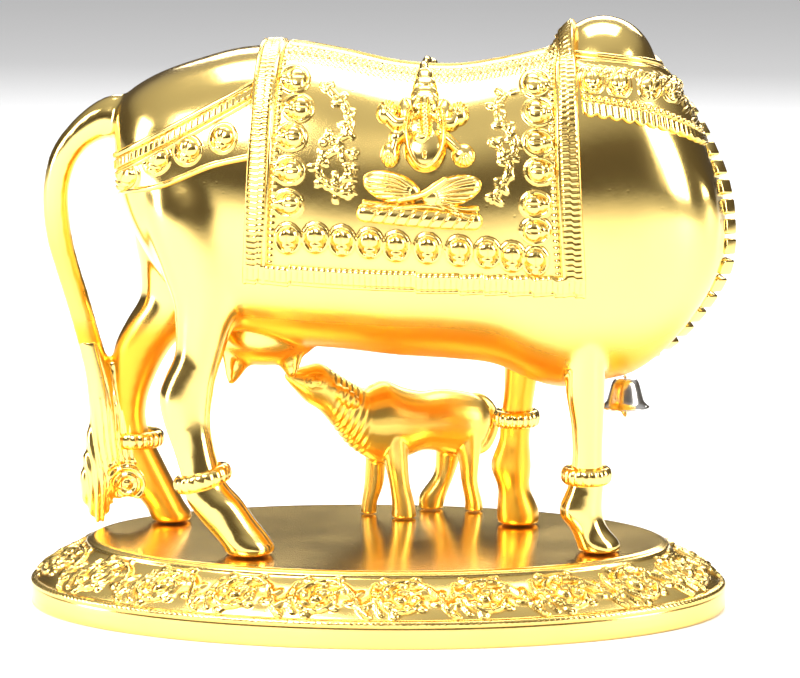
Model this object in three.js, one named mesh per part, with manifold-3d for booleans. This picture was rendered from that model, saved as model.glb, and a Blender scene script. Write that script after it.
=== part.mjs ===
// A gilt cast figurine: a standing cow in a figured saddle cloth, with her calf, on an oval plinth.
// Millimetres. +X is the way the cow's chest points, +Y is her left side and +Z is up.
// The origin is the middle of the plinth's underside.
import * as THREE from 'three';
import { mergeVertices } from 'three/addons/utils/BufferGeometryUtils.js';
import Module from 'manifold-3d';

// Driving dimensions of the plinth
const PLINTH_LENGTH = 165;
const PLINTH_DEPTH = 98;
const DECK_LENGTH = 134.6;
const DECK_DEPTH = 76.4;
const DECK_HEIGHT = 16;
const SCROLL_COUNT = 20;
const SCROLL_RELIEF = 1;

// Clearance between pieces that stand on, or hang from, each other
const GAP = 0.3;
const HOOF_HEIGHT = DECK_HEIGHT + GAP;

// Driving dimensions of the cow's dress
const CLOTH_PROUD = 0.7;
const BAND_PROUD = 1.3;
const STRAP_PROUD = 0.9;
const BEAD_RADIUS = 2.5;
const BLOCK_COUNT = 20;

// The barrel of the body: place along the cow, height of the back, of the widest line
// and of the belly, and half the width there
const BODY = [
  [-61.3, 118.4, 110, 103.0, 4.5],
  [-59.8, 120.2, 108, 96.5, 10],
  [-56, 123.3, 105, 87.5, 16],
  [-50, 126.5, 102, 77.8, 20.5],
  [-42, 129.3, 99, 69.5, 23.5],
  [-32, 132.0, 97, 65.0, 25.5],
  [-20, 132.7, 95, 62.6, 27.5],
  [-8, 130.8, 93, 61.7, 28.5],
  [5, 128.0, 92, 60.3, 29],
  [18, 127.3, 92, 59.6, 29],
  [28, 128.7, 93, 58.4, 28],
  [36, 130.4, 94, 54.8, 27],
  [44, 132.0, 95, 52.8, 26],
  [52, 133.4, 95, 54.4, 25],
  [60, 132.3, 95, 56.4, 23],
  [67, 127.0, 94, 61.4, 20],
  [73, 118.4, 92, 68.2, 16.5],
  [78, 106.3, 90, 75.4, 11.5],
  [81.6, 95.0, 88, 82.5, 4.5],
];
const BODY_SQUARENESS = 2.3;

// Limbs: middle of each section (x, y, z) and its half width along x and along y
const HIND_NEAR_THIGH = [
  [-42, -9, 108, 13, 13],
  [-41, -11, 98, 14, 14],
  [-39.8, -12.5, 90, 13, 13.2],
  [-38.6, -14, 82, 10.8, 11.5],
  [-37.9, -15.5, 74.5, 8.6, 9.3],
  [-39.1, -17, 67.9, 6.6, 7.2],
];
const HIND_NEAR_SHANK = [
  [-40.2, -17.8, 62.1, 5.7, 6.1],
  [-41.9, -18.5, 57.5, 6, 5.8],
  [-43.1, -19.2, 52.6, 6.3, 5.4],
  [-42.8, -20, 46.6, 5.5, 4.8],
  [-41, -20.8, 39.7, 4.8, 4.4],
  [-38.9, -21.3, 33.2, 5, 4.8],
  [-36.5, -21.7, 28.8, 6.5, 5.5],
  [-33.6, -22.1, 24.7, 6.5, 5.4],
  [-30.6, -22.4, 21.2, 6.4, 5.6],
  [-28.4, -22.7, 18.3, 6.1, 6],
  [-28.3, -22.7, HOOF_HEIGHT, 5.4, 5.6],
];
const HIND_FAR_THIGH = [
  [-44.4, 9, 106, 13.6, 13],
  [-44.6, 10.5, 96, 14.4, 13.5],
  [-44.8, 11.5, 86, 14, 12.4],
  [-45.6, 11.8, 78, 11.8, 10.4],
  [-47.6, 11.6, 71.5, 9.8, 8.8],
  [-52.2, 11.3, 65.5, 8.6, 7.6],
];
const HIND_FAR_SHANK = [
  [-56.6, 11.2, 59.6, 7, 6.4],
  [-58.8, 11.8, 53.2, 5.4, 5.4],
  [-60.3, 12.6, 46, 4.2, 4.6],
  [-60.4, 13.4, 39.3, 4.2, 4.4],
  [-58.7, 14.1, 32.4, 5.5, 5],
  [-55.8, 14.6, 25.5, 5.9, 5.2],
  [-52.4, 14.9, 20.4, 5, 5],
  [-50.9, 15.1, 18, 5.2, 5.5],
  [-50.7, 15.1, HOOF_HEIGHT, 4.8, 5.2],
];
const FORE_NEAR = [
  [53, -11, 106, 13, 12.5],
  [53, -12, 94, 12, 12],
  [52, -13.5, 84, 9.5, 10],
  [50.8, -14, 76, 6.4, 7.4],
  [49.9, -14, 68.3, 4.5, 5.6],
  [49.4, -14, 61, 4.5, 5],
  [49.3, -14, 54, 4.6, 4.8],
  [49.8, -14, 46.5, 3.9, 4.2],
  [49.9, -14.1, 38.5, 3.6, 3.9],
  [49.6, -14.1, 32, 4.1, 4.2],
  [48.4, -14.2, 25.7, 5.1, 4.8],
  [50.4, -14.2, 21.6, 4.4, 4.6],
  [52.4, -14.3, 18.6, 5.1, 5.2],
  [52.9, -14.3, HOOF_HEIGHT, 5, 5.2],
];
const FORE_FAR = [
  [40, 12, 84, 10, 11],
  [38, 13.4, 73, 8, 8.5],
  [35.2, 14.4, 63, 5.6, 6],
  [33.8, 15, 55.5, 4.4, 4.8],
  [33, 15.3, 48, 3.7, 4.2],
  [32.2, 15.7, 41, 3.8, 4],
  [31.9, 16, 36.7, 3.7, 3.9],
  [31.1, 16.3, 30.6, 4.9, 4.6],
  [31.8, 16.5, 25, 3.9, 4.2],
  [32.7, 16.7, 20, 5, 5],
  [32.9, 16.7, HOOF_HEIGHT, 5.1, 5.2],
];

// Anklets: middle, half widths of the leg there, and how far the band leans forward
const ANKLETS = [
  { at: [-39.2, -21.2, 33.8], half: [5.4, 5.3], lean: 0.3 },
  { at: [-58.9, 13.9, 36.6], half: [5.4, 5.3], lean: 0 },
  { at: [49.7, -14.1, 34.2], half: [4.7, 4.8], lean: 0 },
  { at: [32.3, 15.7, 42.2], half: [4.5, 4.7], lean: 0 },
];
const ANKLET_HEIGHT = 3.6;

// The tail, as a limb whose sections lie across it: middle, half thickness in its plane and across
const TAIL = [
  [-56, 0, 113, 6.6, 5.6],
  [-60, 0, 115.4, 5.7, 5],
  [-64.3, 0.6, 114.8, 4.6, 4.2],
  [-69.8, 1.6, 111.2, 3.6, 3.5],
  [-74.2, 3, 105.4, 3.3, 3.3],
  [-76.3, 4.5, 97, 3.1, 3.1],
  [-76, 6, 87.4, 3.1, 3],
  [-74.3, 7.2, 79.4, 2.9, 2.9],
  [-71.9, 8.2, 70.8, 2.9, 2.8],
  [-69.4, 9.2, 61, 2.9, 2.8],
];
const TUFT = [
  [-69.4, 9.2, 61, 2.9, 2.8],
  [-67.4, 9.8, 53, 3.2, 3.4],
  [-66.2, 10, 44, 3.6, 3.8],
  [-66.2, 10.2, 36, 4.5, 4],
  [-66.9, 10.3, 28.5, 5.1, 3.9],
  [-67.8, 10.4, 22.4, 3.9, 3],
  [-67.7, 10.4, 16.6, 1, 0.9],
];
const TUFT_WEB = [
  [-62.5, 11.5, 56, 4.4, 2.8],
  [-62.6, 11.6, 46, 4.4, 3],
  [-62.2, 11.8, 36, 4.8, 3],
  [-61, 11.8, 28.5, 6.8, 3],
  [-60.4, 11.8, 22.6, 6.2, 2.4],
];

// The neck turns to the cow's left; sections lie across it
const NECK = [
  [60, -8, 92, 20, 24],
  [62, 4, 94, 19.4, 24],
  [62, 13, 99, 17.4, 19.5],
  [60.5, 20, 105, 13.5, 14],
  [59, 26, 109.5, 9.5, 10],
];
const HEAD = [
  [59.4, 20, 111.5, 6, 6.5],
  [57.8, 24, 109.8, 8.6, 8.4],
  [55.8, 28, 106.6, 9.2, 9],
  [53.4, 32.4, 102.4, 8, 8.2],
  [50.6, 37, 97.4, 6.4, 7],
  [48, 41.2, 92.6, 5.8, 6],
  [46.4, 43.8, 89.6, 5.7, 5.4],
  [45.4, 45.6, 87.6, 4.2, 3.6],
];
const HORN = [
  [3.5, 0, 0, 3.1, 3.1],
  [8, 0.8, 1.4, 2.7, 2.7],
  [11.6, 1.8, 4.6, 2.1, 2.1],
  [12.2, 2.6, 9, 1.3, 1.3],
  [10.4, 3.2, 12.4, 0.5, 0.5],
];
const EAR = [
  [4, 1, -3, 1.6, 1.2],
  [8, 2.2, -4.2, 3, 1.3],
  [13, 4.2, -6, 3.2, 1.2],
  [17.5, 6.4, -8.6, 0.9, 0.7],
];
const POLL = [58, 23.6, 113];
const HEAD_TURN = THREE.MathUtils.degToRad(28);

// Udder and teats
const UDDER = { at: [-26.4, -1, 66], half: [13.6, 12.5, 8.8] };
const TEATS = [
  { foot: [-34, -6, 53.2], lean: 2.5 },
  { foot: [-19.6, -6, 54.6], lean: -1.5 },
  { foot: [-33, 6.5, 55], lean: 2 },
  { foot: [-20.4, 7.5, 56.2], lean: -1.5 },
];

// Hump over the shoulders
const HUMP = { at: [52.7, 0, 126.4], half: [12.7, 13, 13.7] };

// Saddle cloth in side view: outer corners, and the width of its edge bands
const CLOTH = [
  [-26.2, 140],
  [46.2, 140],
  [49.3, 77.4],
  [-29, 80.3],
];
const SIDE_BAND = 5;
const FOOT_BAND = 5.2;

// Straps in side view, on the haunch and round the root of the hump
const HAUNCH_STRAP = [
  [-27, 125.2],
  [-62, 107.4],
  [-62, 97.5],
  [-56.6, 99.4],
  [-43, 103.8],
  [-27.6, 108.4],
];
const HUMP_STRAP = [
  [45.6, 132.6],
  [56, 132.4],
  [66, 127.6],
  [80, 117],
  [80, 111.5],
  [72, 113.6],
  [60, 117],
  [47, 120.2],
];

// Beads along the cloth's edges and the straps: first and last place in side view, and how many
const BEAD_ROWS = [
  { from: [-17.6, 91.7], to: [37.6, 87.8], count: 10 },
  { from: [-15.6, 124], to: [-18, 99.6], count: 5 },
  { from: [38.4, 123.6], to: [38, 94.4], count: 6 },
  { from: [-34, 112.4], to: [-55.6, 103.4], count: 4 },
  { from: [50, 126.2], to: [67.6, 121.6], count: 4 },
];

// Seated figure on the cloth: parts in side view from the middle of its seat, with half sizes
const FIGURE_AT = [11.6, 96.4];
const FIGURE_RELIEF = 2.3;
const FIGURE = [
  { at: [0, 0], half: [13.6, 2.9] },
  { at: [-6, 6.6], half: [6.6, 3.4], tilt: -0.2 },
  { at: [6.2, 6.2], half: [6.6, 3.4], tilt: 0.2 },
  { at: [0.4, 13.4], half: [5.4, 6.4] },
  { at: [0.6, 22.4], half: [4, 4] },
  { at: [-4.6, 22.6], half: [2.2, 3] },
  { at: [5.6, 22.6], half: [2.2, 3] },
  { at: [0.8, 27.6], half: [2.6, 2.8] },
  { at: [-7.4, 18.6], half: [2.6, 5] },
  { at: [8.8, 18], half: [2.6, 5.4] },
];

// The garland lies round the neck, in a slanting upright plane about this middle
const GARLAND_MIDDLE = [61.5, 12.5, 91];
const GARLAND_TURN = THREE.MathUtils.degToRad(-34.5);
const GARLAND_LEAN = 0.137;
const BLOCK_SIZE = [3.2, 3.6, 4.2];

// Bell: rim radius, height, wall and the height of its rim; it hangs by a ring from the garland
const BELL_RADIUS = 5.8;
const BELL_HEIGHT = 7.4;
const BELL_WALL = 0.7;
const BELL_EYE_AT = [58.4, 10.4, 58.3];
const EYE_RADIUS = 1.5;
const WIRE = 0.42;
const RING_RADIUS = 1.5;

// The calf in its own frame: x runs from its nose to its tail, y to its left, z up
const CALF_AT = [8, 28, 0];
const CALF_TURN = THREE.MathUtils.degToRad(25);
const CALF_BODY = [
  [-34.3, 0, 52.1, 0.5, 0.5],
  [-33, 0, 51.5, 1.6, 1.5],
  [-31.4, 0, 50.9, 2.8, 2.5],
  [-28.8, 0, 49.9, 4.5, 3.7],
  [-25.3, 0, 48.9, 5.9, 4.3],
  [-22, 0, 45.9, 6.8, 4.4],
  [-18.3, 0, 42.3, 7.9, 4.7],
  [-14.2, 0, 39.6, 8.4, 5.3],
  [-11.4, 0, 39.2, 9.6, 5.8],
  [-8.5, 0, 39.3, 10.2, 6.2],
  [-4, 0, 38.8, 8.7, 6.3],
  [1.1, 0, 38.9, 7.3, 6.2],
  [6.3, 0, 38.6, 7.8, 6.2],
  [11.9, 0, 37.6, 7.9, 6],
  [15.6, 0, 37.8, 6.4, 5],
  [18, 0, 38.4, 3.4, 3],
];
const CALF_LEGS = [
  [[-7.4, -2.6, 37, 3.4, 3.4], [-7, -3.6, 30, 2.9, 2.9], [-6.3, -4, 24.5, 2.5, 2.5],
    [-5.4, -4.1, 19.6, 2.8, 2.7], [-5.2, -4.1, HOOF_HEIGHT, 3.1, 3]],
  [[-9.4, 2.6, 37, 3.2, 3.2], [-9.6, 3.4, 30, 2.6, 2.7], [-10, 3.6, 23.6, 2.4, 2.4],
    [-11.2, 3.6, 19, 1.9, 2.1], [-11.4, 3.6, HOOF_HEIGHT, 2, 2.2]],
  [[10, 2.4, 36, 4.2, 3.2], [9.4, 3.2, 29.5, 3.2, 2.8], [8.3, 3.6, 24.4, 2.6, 2.6],
    [5.6, 3.8, 19.6, 3.4, 2.8], [5, 3.8, HOOF_HEIGHT, 3, 2.8]],
  [[12, -2.6, 36, 4, 3.2], [12.2, -3.1, 29.4, 2.6, 2.7], [12.4, -3, 23.6, 2, 2.3],
    [13.6, -2.6, 18.6, 2.1, 2.4], [13.8, -2.4, HOOF_HEIGHT, 2.3, 2.5]],
];
const CALF_TAIL = [
  [11.6, 0, 43.6, 1.4, 1.6],
  [15.9, -0.2, 43.6, 1.25, 1.3],
  [18.8, -0.4, 41.4, 1.2, 1.2],
  [20, -0.6, 38, 1.2, 1.2],
  [19.1, -0.8, 34.6, 1.4, 1.2],
  [17, -1, 31.8, 1.6, 1.3],
  [14.4, -1.2, 30.4, 1, 1.2],
];
const CALF_CLOTH = [
  [-10.4, 60],
  [7.6, 60],
  [9, 34],
  [-7.6, 32.8],
];
const CALF_CLOTH_PROUD = 0.5;
const CALF_EYE = { at: [-27, 3.6, 51.2], half: [2.3, 1.1, 1.5] };
const CALF_EAR = [
  [-23, 3.6, 49.4, 0.8, 0.8],
  [-21, 4.9, 47.6, 1.8, 1],
  [-18.8, 5.3, 45.8, 1.7, 0.9],
  [-17, 5.2, 44.6, 0.5, 0.5],
];

const wasm = await Module();
wasm.setup();

const ACROSS = new THREE.Vector3(0, 1, 0);
const UPRIGHT = new THREE.Vector3(0, 0, 1);
const ALONG = new THREE.Vector3(1, 0, 0);

// A closed geometry as a solid that can be joined and cut
function solid(geometry) {
  const bare = geometry.clone();
  bare.deleteAttribute('normal');
  bare.deleteAttribute('uv');
  const merged = mergeVertices(bare, 1e-4);
  const corners = merged.index.array;
  const kept = [];
  for (let i = 0; i < corners.length; i += 3) {
    const [a, b, c] = [corners[i], corners[i + 1], corners[i + 2]];
    if (a !== b && b !== c && c !== a) kept.push(a, b, c);
  }
  const make = (order) => new wasm.Manifold(new wasm.Mesh({
    numProp: 3,
    vertProperties: new Float32Array(merged.attributes.position.array),
    triVerts: new Uint32Array(order),
  }));
  const body = make(kept);
  return body.volume() > 0 ? body : make(kept.reverse());
}

// A solid's vertices and faces as a geometry
function shapeOf(body) {
  const mesh = body.getMesh();
  const geometry = new THREE.BufferGeometry();
  geometry.setAttribute('position', new THREE.BufferAttribute(new Float32Array(mesh.vertProperties), 3));
  geometry.setIndex(new THREE.BufferAttribute(new Uint32Array(mesh.triVerts), 1));
  geometry.computeVertexNormals();
  return geometry;
}

function joined(bodies) {
  return bodies.reduce((whole, next) => whole.add(next));
}

// A curve through points that passes each one at an even step of its parameter
function through(points, closed = false) {
  return new THREE.CatmullRomCurve3(points.map((p) => new THREE.Vector3(...p)), closed, 'catmullrom');
}

// A tube with flat ends whose every ring is placed by a rule: ring(t, sine, cosine) gives a point
function swept(ring, sides, rings) {
  const form = new THREE.CylinderGeometry(1, 1, 1, sides, rings);
  const spots = form.attributes.position;
  for (let i = 0; i < spots.count; i += 1) {
    const t = spots.getY(i) + 0.5;
    const spot = ring(t, spots.getX(i), spots.getZ(i));
    spots.setXYZ(i, spot.x, spot.y, spot.z);
  }
  return form;
}

// A limb through sections [x, y, z, half width, half depth]; its depth lies along `side`,
// and its sections lie across its own path, or across `along` where that is given
function limb(sections, { sides = 10, rings = sections.length - 1, side = ACROSS, along = null } = {}) {
  const path = through(sections.map((s) => s.slice(0, 3)));
  const sizes = through(sections.map((s) => [s[3], s[4], 0]));
  return swept((t, sine, cosine) => {
    const heading = along ?? path.getTangent(t);
    const depth = side.clone().addScaledVector(heading, -side.dot(heading)).normalize();
    const width = depth.clone().cross(heading);
    const size = sizes.getPoint(t);
    return path.getPoint(t).addScaledVector(depth, sine * size.y).addScaledVector(width, cosine * size.x);
  }, sides, rings);
}

function legOf(sections, sides = 7) {
  return solid(limb(sections, { sides, along: UPRIGHT.clone().negate() }));
}

function blob(at, half, { turn = new THREE.Quaternion(), across = 6, down = 4 } = {}) {
  const form = new THREE.SphereGeometry(1, across, down);
  form.scale(...half);
  form.applyQuaternion(turn);
  form.translate(...at);
  return solid(form);
}

// An outline in side view, less an inner outline, drawn right through from flank to flank
function sidePrism(outline, inner = null, depth = 120) {
  const drawn = (points) => points.map(([x, z]) => new THREE.Vector2(x, z));
  const shape = new THREE.Shape(drawn(outline));
  if (inner) shape.holes.push(new THREE.Path(drawn([...inner].reverse())));
  const form = new THREE.ExtrudeGeometry(shape, { depth, bevelEnabled: false, steps: 1 });
  form.rotateX(Math.PI / 2);
  form.translate(0, depth / 2, 0);
  return solid(form);
}

// The barrel of the body, fattened by `grow`
function barrel(grow) {
  const lines = through(BODY.map(([x, back, widest]) => [x, back, widest]));
  const rest = through(BODY.map(([, , , belly, half]) => [belly, half, 0]));
  const squared = (value) => Math.sign(value) * Math.abs(value) ** (2 / BODY_SQUARENESS);
  return solid(swept((t, sine, cosine) => {
    const { x, y: back, z: widest } = lines.getPoint(t);
    const { x: belly, y: half } = rest.getPoint(t);
    const reach = cosine > 0 ? widest - belly : back - widest;
    const height = widest - squared(cosine) * (reach + grow);
    return new THREE.Vector3(x + grow * (2 * t - 1), squared(sine) * (half + grow), height);
  }, 18, 16));
}

function fattened(sections, grow) {
  return sections.map(([x, y, z, wide, deep]) => [x, y, z, wide + grow, deep + grow]);
}

function hump(grow) {
  return blob(HUMP.at, HUMP.half.map((half) => half + grow), { across: 12, down: 8 });
}

// Body, haunches, shoulders and hump without the legs, fattened by `grow`
function trunk(grow) {
  return joined([
    barrel(grow),
    hump(grow),
    legOf(fattened(HIND_NEAR_THIGH, grow), 9),
    legOf(fattened(HIND_FAR_THIGH, grow), 9),
  ]);
}

// What shows of a garment: the fattened trunk inside an outline in side view
function garment(outline, proud, inner = null) {
  return trunk(proud).intersect(sidePrism(outline, inner));
}

// The cloth's middle, as far into its left, right and foot bands as `share` leaves of their width
function clothWindow(share = 1) {
  const [topLeft, topRight, footRight, footLeft] = CLOTH;
  const side = share * SIDE_BAND;
  const foot = share * FOOT_BAND;
  return [
    [topLeft[0] + side, topLeft[1] - share],
    [topRight[0] - side, topRight[1] - share],
    [footRight[0] - side, footRight[1] + foot],
    [footLeft[0] + side, footLeft[1] + foot],
  ];
}

// Finds where a flank lies under a place in side view, and which way it faces
function flankSeat(target, [x, z], side) {
  const start = new THREE.Vector3(x, side * 100, z);
  const caster = new THREE.Raycaster(start, new THREE.Vector3(0, -side, 0));
  const [hit] = caster.intersectObject(target);
  return { spot: hit.point, facing: hit.face.normal.clone() };
}

function turnTo(facing) {
  return new THREE.Quaternion().setFromUnitVectors(UPRIGHT, facing);
}

function beads(target, side) {
  return BEAD_ROWS.flatMap(({ from, to, count }) => Array.from({ length: count }, (_, i) => {
    const share = i / (count - 1);
    const place = [
      THREE.MathUtils.lerp(from[0], to[0], share),
      THREE.MathUtils.lerp(from[1], to[1], share),
    ];
    const { spot, facing } = flankSeat(target, place, side);
    const half = [BEAD_RADIUS, BEAD_RADIUS, 0.8 * BEAD_RADIUS];
    return blob(spot.toArray(), half, { turn: turnTo(facing), across: 4, down: 2 });
  }));
}

function seatedFigure(target, side) {
  return FIGURE.map(({ at, half, tilt = 0 }) => {
    const place = [FIGURE_AT[0] + at[0], FIGURE_AT[1] + at[1]];
    const { spot, facing } = flankSeat(target, place, side);
    const level = new THREE.Vector3(Math.cos(tilt), 0, Math.sin(tilt));
    level.addScaledVector(facing, -level.dot(facing)).normalize();
    const basis = new THREE.Matrix4().makeBasis(level, facing.clone().cross(level), facing);
    const turn = new THREE.Quaternion().setFromRotationMatrix(basis);
    return blob(spot.toArray(), [half[0], half[1], FIGURE_RELIEF], { turn, across: 6, down: 3 });
  });
}

// Blocks laid on the neck all round the garland's plane
function garlandBlocks(target) {
  const middle = new THREE.Vector3(...GARLAND_MIDDLE);
  const forward = new THREE.Vector3(Math.cos(GARLAND_TURN), Math.sin(GARLAND_TURN), 0);
  const upward = new THREE.Vector3(0, GARLAND_LEAN, 1).normalize();
  const spots = Array.from({ length: BLOCK_COUNT }, (_, i) => {
    const angle = (2 * Math.PI * i) / BLOCK_COUNT;
    const outward = forward.clone().multiplyScalar(Math.cos(angle)).addScaledVector(upward, Math.sin(angle));
    const caster = new THREE.Raycaster(middle.clone().addScaledVector(outward, 90), outward.clone().negate());
    return { spot: caster.intersectObject(target)[0].point, outward };
  });
  return spots.map(({ spot, outward }, i) => {
    const heading = spots[(i + 1) % BLOCK_COUNT].spot.clone().sub(spots.at(i - 1).spot).normalize();
    const across = outward.clone().cross(heading).normalize();
    const basis = new THREE.Matrix4().makeBasis(heading, across, heading.clone().cross(across));
    const form = new THREE.BoxGeometry(...BLOCK_SIZE);
    return solid(form.applyMatrix4(basis.setPosition(spot)));
  });
}

// A part of the head, given about the poll with x to one side, turned with the head
function onHead(sections, side, options) {
  const form = limb(sections, { side: UPRIGHT, ...options });
  form.scale(side, 1, 1);
  form.rotateZ(HEAD_TURN);
  form.translate(...POLL);
  return solid(form);
}

function neck() {
  return solid(limb(NECK, { sides: 14, side: UPRIGHT }));
}

function head() {
  const sideways = new THREE.Vector3(Math.cos(HEAD_TURN), Math.sin(HEAD_TURN), 0);
  const sections = HEAD.map(([x, y, z, wide, deep]) => [x, y, z, deep, wide]);
  const parts = [solid(limb(sections, { sides: 8, side: sideways }))];
  for (const side of [1, -1]) {
    parts.push(onHead(HORN, side, { sides: 5 }));
    parts.push(onHead(EAR, side, { sides: 5 }));
  }
  return parts;
}

function anklet({ at, half, lean }) {
  const form = new THREE.CylinderGeometry(1, 1, ANKLET_HEIGHT, 8, 1);
  form.rotateX(Math.PI / 2);
  form.scale(half[0], half[1], 1);
  form.rotateY(-lean);
  form.translate(...at);
  return solid(form);
}

function teat({ foot: [x, y, z], lean }) {
  const sections = [
    [x + lean, 0.8 * y, z + 9, 5.2, 5],
    [x + 0.5 * lean, 0.9 * y, z + 4.5, 3, 3],
    [x, y, z, 0.7, 0.7],
  ];
  return legOf(sections, 6);
}

function torus(radius, wire, at, aboutX) {
  const form = new THREE.TorusGeometry(radius, wire, 4, 9);
  if (aboutX) form.rotateY(Math.PI / 2);
  else form.rotateX(Math.PI / 2);
  form.translate(...at);
  return form;
}

// The ring hangs in the garland's eye and the bell's own eye hangs in the ring
const WIRE_STEP = 2 * WIRE + GAP;
const RING_MIDDLE = BELL_EYE_AT[2] - EYE_RADIUS + WIRE_STEP - RING_RADIUS;
const CROWN_EYE = RING_MIDDLE - RING_RADIUS + WIRE_STEP - EYE_RADIUS;
const BELL_FOOT = CROWN_EYE - EYE_RADIUS + 0.2 - BELL_HEIGHT;

function cow() {
  const bare = trunk(0);
  const clothed = new THREE.Mesh(shapeOf(trunk(CLOTH_PROUD)));
  const necked = new THREE.Mesh(shapeOf(joined([bare, neck()])));
  const parts = [
    bare,
    neck(),
    garment(clothWindow(0.5), CLOTH_PROUD),
    garment(CLOTH, BAND_PROUD, clothWindow()),
    garment(HAUNCH_STRAP, STRAP_PROUD),
    garment(HUMP_STRAP, STRAP_PROUD),
    legOf([...HIND_NEAR_THIGH.slice(-2), ...HIND_NEAR_SHANK]),
    legOf([...HIND_FAR_THIGH.slice(-2), ...HIND_FAR_SHANK]),
    legOf(FORE_NEAR),
    legOf(FORE_FAR),
    ...ANKLETS.map(anklet),
    solid(limb(TAIL, { sides: 6 })),
    legOf(TUFT, 6),
    legOf(TUFT_WEB, 6),
    blob(UDDER.at, UDDER.half, { across: 10, down: 6 }),
    ...TEATS.map(teat),
    ...head(),
    ...garlandBlocks(necked),
    solid(torus(EYE_RADIUS, WIRE, BELL_EYE_AT, true)),
  ];
  for (const side of [-1, 1]) {
    parts.push(...beads(clothed, side));
    parts.push(...seatedFigure(clothed, side));
  }
  return joined(parts);
}

// The calf, with its cloth, straining up to the teat
function calf() {
  const body = (grow) => solid(limb(fattened(CALF_BODY, grow), { sides: 8, along: ALONG }));
  const parts = [
    body(0),
    body(CALF_CLOTH_PROUD).intersect(sidePrism(CALF_CLOTH)),
    ...CALF_LEGS.map((sections) => legOf(sections, 5)),
    solid(limb(CALF_TAIL, { sides: 5 })),
  ];
  for (const side of [1, -1]) {
    const ear = limb(CALF_EAR, { sides: 5 });
    ear.scale(1, side, 1);
    parts.push(solid(ear));
    const [x, y, z] = CALF_EYE.at;
    parts.push(blob([x, side * y, z], CALF_EYE.half, { across: 6, down: 4 }));
  }
  return joined(parts);
}

// Plinth section from the middle out: flat underside, rim, bulging band, hollow, deck
const RIM = PLINTH_LENGTH / 2;
const PLINTH_SECTION = [
  [0, 0], [RIM - 0.6, 0], [RIM, 0.6], [RIM, 4.2], [RIM - 0.5, 5.4], [RIM - 3.2, 8.6], [RIM - 7.6, 10.9],
  [RIM - 13.6, 14.1], [DECK_LENGTH / 2, DECK_HEIGHT], [0, DECK_HEIGHT],
];
const BAND_FOOT = 4;
const BAND_HEAD = 7;

// Half the plinth's depth where half its length is `reach`
function depthAt(reach) {
  const edge = DECK_LENGTH / 2;
  if (reach < edge) return (reach / edge) * (DECK_DEPTH / 2);
  return THREE.MathUtils.mapLinear(reach, edge, RIM, DECK_DEPTH / 2, PLINTH_DEPTH / 2);
}

function plinth() {
  const form = new THREE.LatheGeometry(PLINTH_SECTION.map(([r, z]) => new THREE.Vector2(r, z)), 36);
  form.rotateX(Math.PI / 2);
  const spots = form.attributes.position;
  for (let i = 0; i < spots.count; i += 1) {
    const reach = Math.hypot(spots.getX(i), spots.getY(i));
    if (reach > 0) spots.setY(i, spots.getY(i) * (depthAt(reach) / reach));
  }
  return joined([solid(form), ...scrolls()]);
}

// Stems on the bulging band, each rising, arching over and curling in on itself
function scrolls() {
  const slope = through(PLINTH_SECTION.slice(BAND_FOOT, BAND_HEAD + 1).map(([r, z]) => [r, 0, z]));
  return Array.from({ length: SCROLL_COUNT }, (_, unit) => {
    const sections = Array.from({ length: 5 }, (__, i) => {
      const sweep = THREE.MathUtils.degToRad(-40 + 76 * i);
      const curl = 0.45 - 0.05 * i;
      const rise = 0.5 + curl * Math.sin(sweep);
      const turn = (unit + 0.5 - curl * Math.cos(sweep)) * ((2 * Math.PI) / SCROLL_COUNT);
      const { x: reach, z: height } = slope.getPoint(rise);
      const thick = SCROLL_RELIEF * (1 - 0.04 * i);
      return [reach * Math.cos(turn), depthAt(reach) * Math.sin(turn), height, thick, thick];
    });
    return solid(limb(sections, { sides: 3, side: UPRIGHT }));
  });
}

// Bell: a flared shell, open below, with an eye on its crown
function bell() {
  const outside = [
    [0, BELL_HEIGHT], [2.3, BELL_HEIGHT - 0.3], [3.3, BELL_HEIGHT - 1.4], [4.2, BELL_HEIGHT * 0.4],
    [4.8, BELL_HEIGHT * 0.18], [BELL_RADIUS, 0.5], [BELL_RADIUS, 0],
  ];
  const inside = [
    [BELL_RADIUS - BELL_WALL, 0], [4.8 - BELL_WALL, BELL_HEIGHT * 0.18],
    [4.2 - BELL_WALL, BELL_HEIGHT * 0.4], [3.3 - BELL_WALL, BELL_HEIGHT - 2],
    [1.4, BELL_HEIGHT - 1.1], [0, BELL_HEIGHT - BELL_WALL - 0.2],
  ];
  const wall = [...outside, ...inside].map(([r, z]) => new THREE.Vector2(r, z));
  const form = new THREE.LatheGeometry(wall, 10);
  form.rotateX(Math.PI / 2);
  form.translate(BELL_EYE_AT[0], BELL_EYE_AT[1], BELL_FOOT);
  const eye = torus(EYE_RADIUS, WIRE, [BELL_EYE_AT[0], BELL_EYE_AT[1], CROWN_EYE], true);
  return joined([solid(form), solid(eye)]);
}

// Clapper: a thin stem with a pointed drop that shows below the rim
function clapper() {
  const section = [
    [0, BELL_HEIGHT - BELL_WALL - 0.2 - GAP], [0.45, BELL_HEIGHT - 1.6], [0.45, 3.4], [1.3, 1.4],
    [1.5, 0], [1.2, -0.8], [0, -2.6],
  ];
  const form = new THREE.LatheGeometry(section.map(([r, z]) => new THREE.Vector2(r, z)), 8);
  form.rotateX(Math.PI / 2);
  form.translate(BELL_EYE_AT[0], BELL_EYE_AT[1], BELL_FOOT);
  return solid(form);
}

function ring() {
  return solid(torus(RING_RADIUS, WIRE, [BELL_EYE_AT[0], BELL_EYE_AT[1], RING_MIDDLE], false));
}

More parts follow.
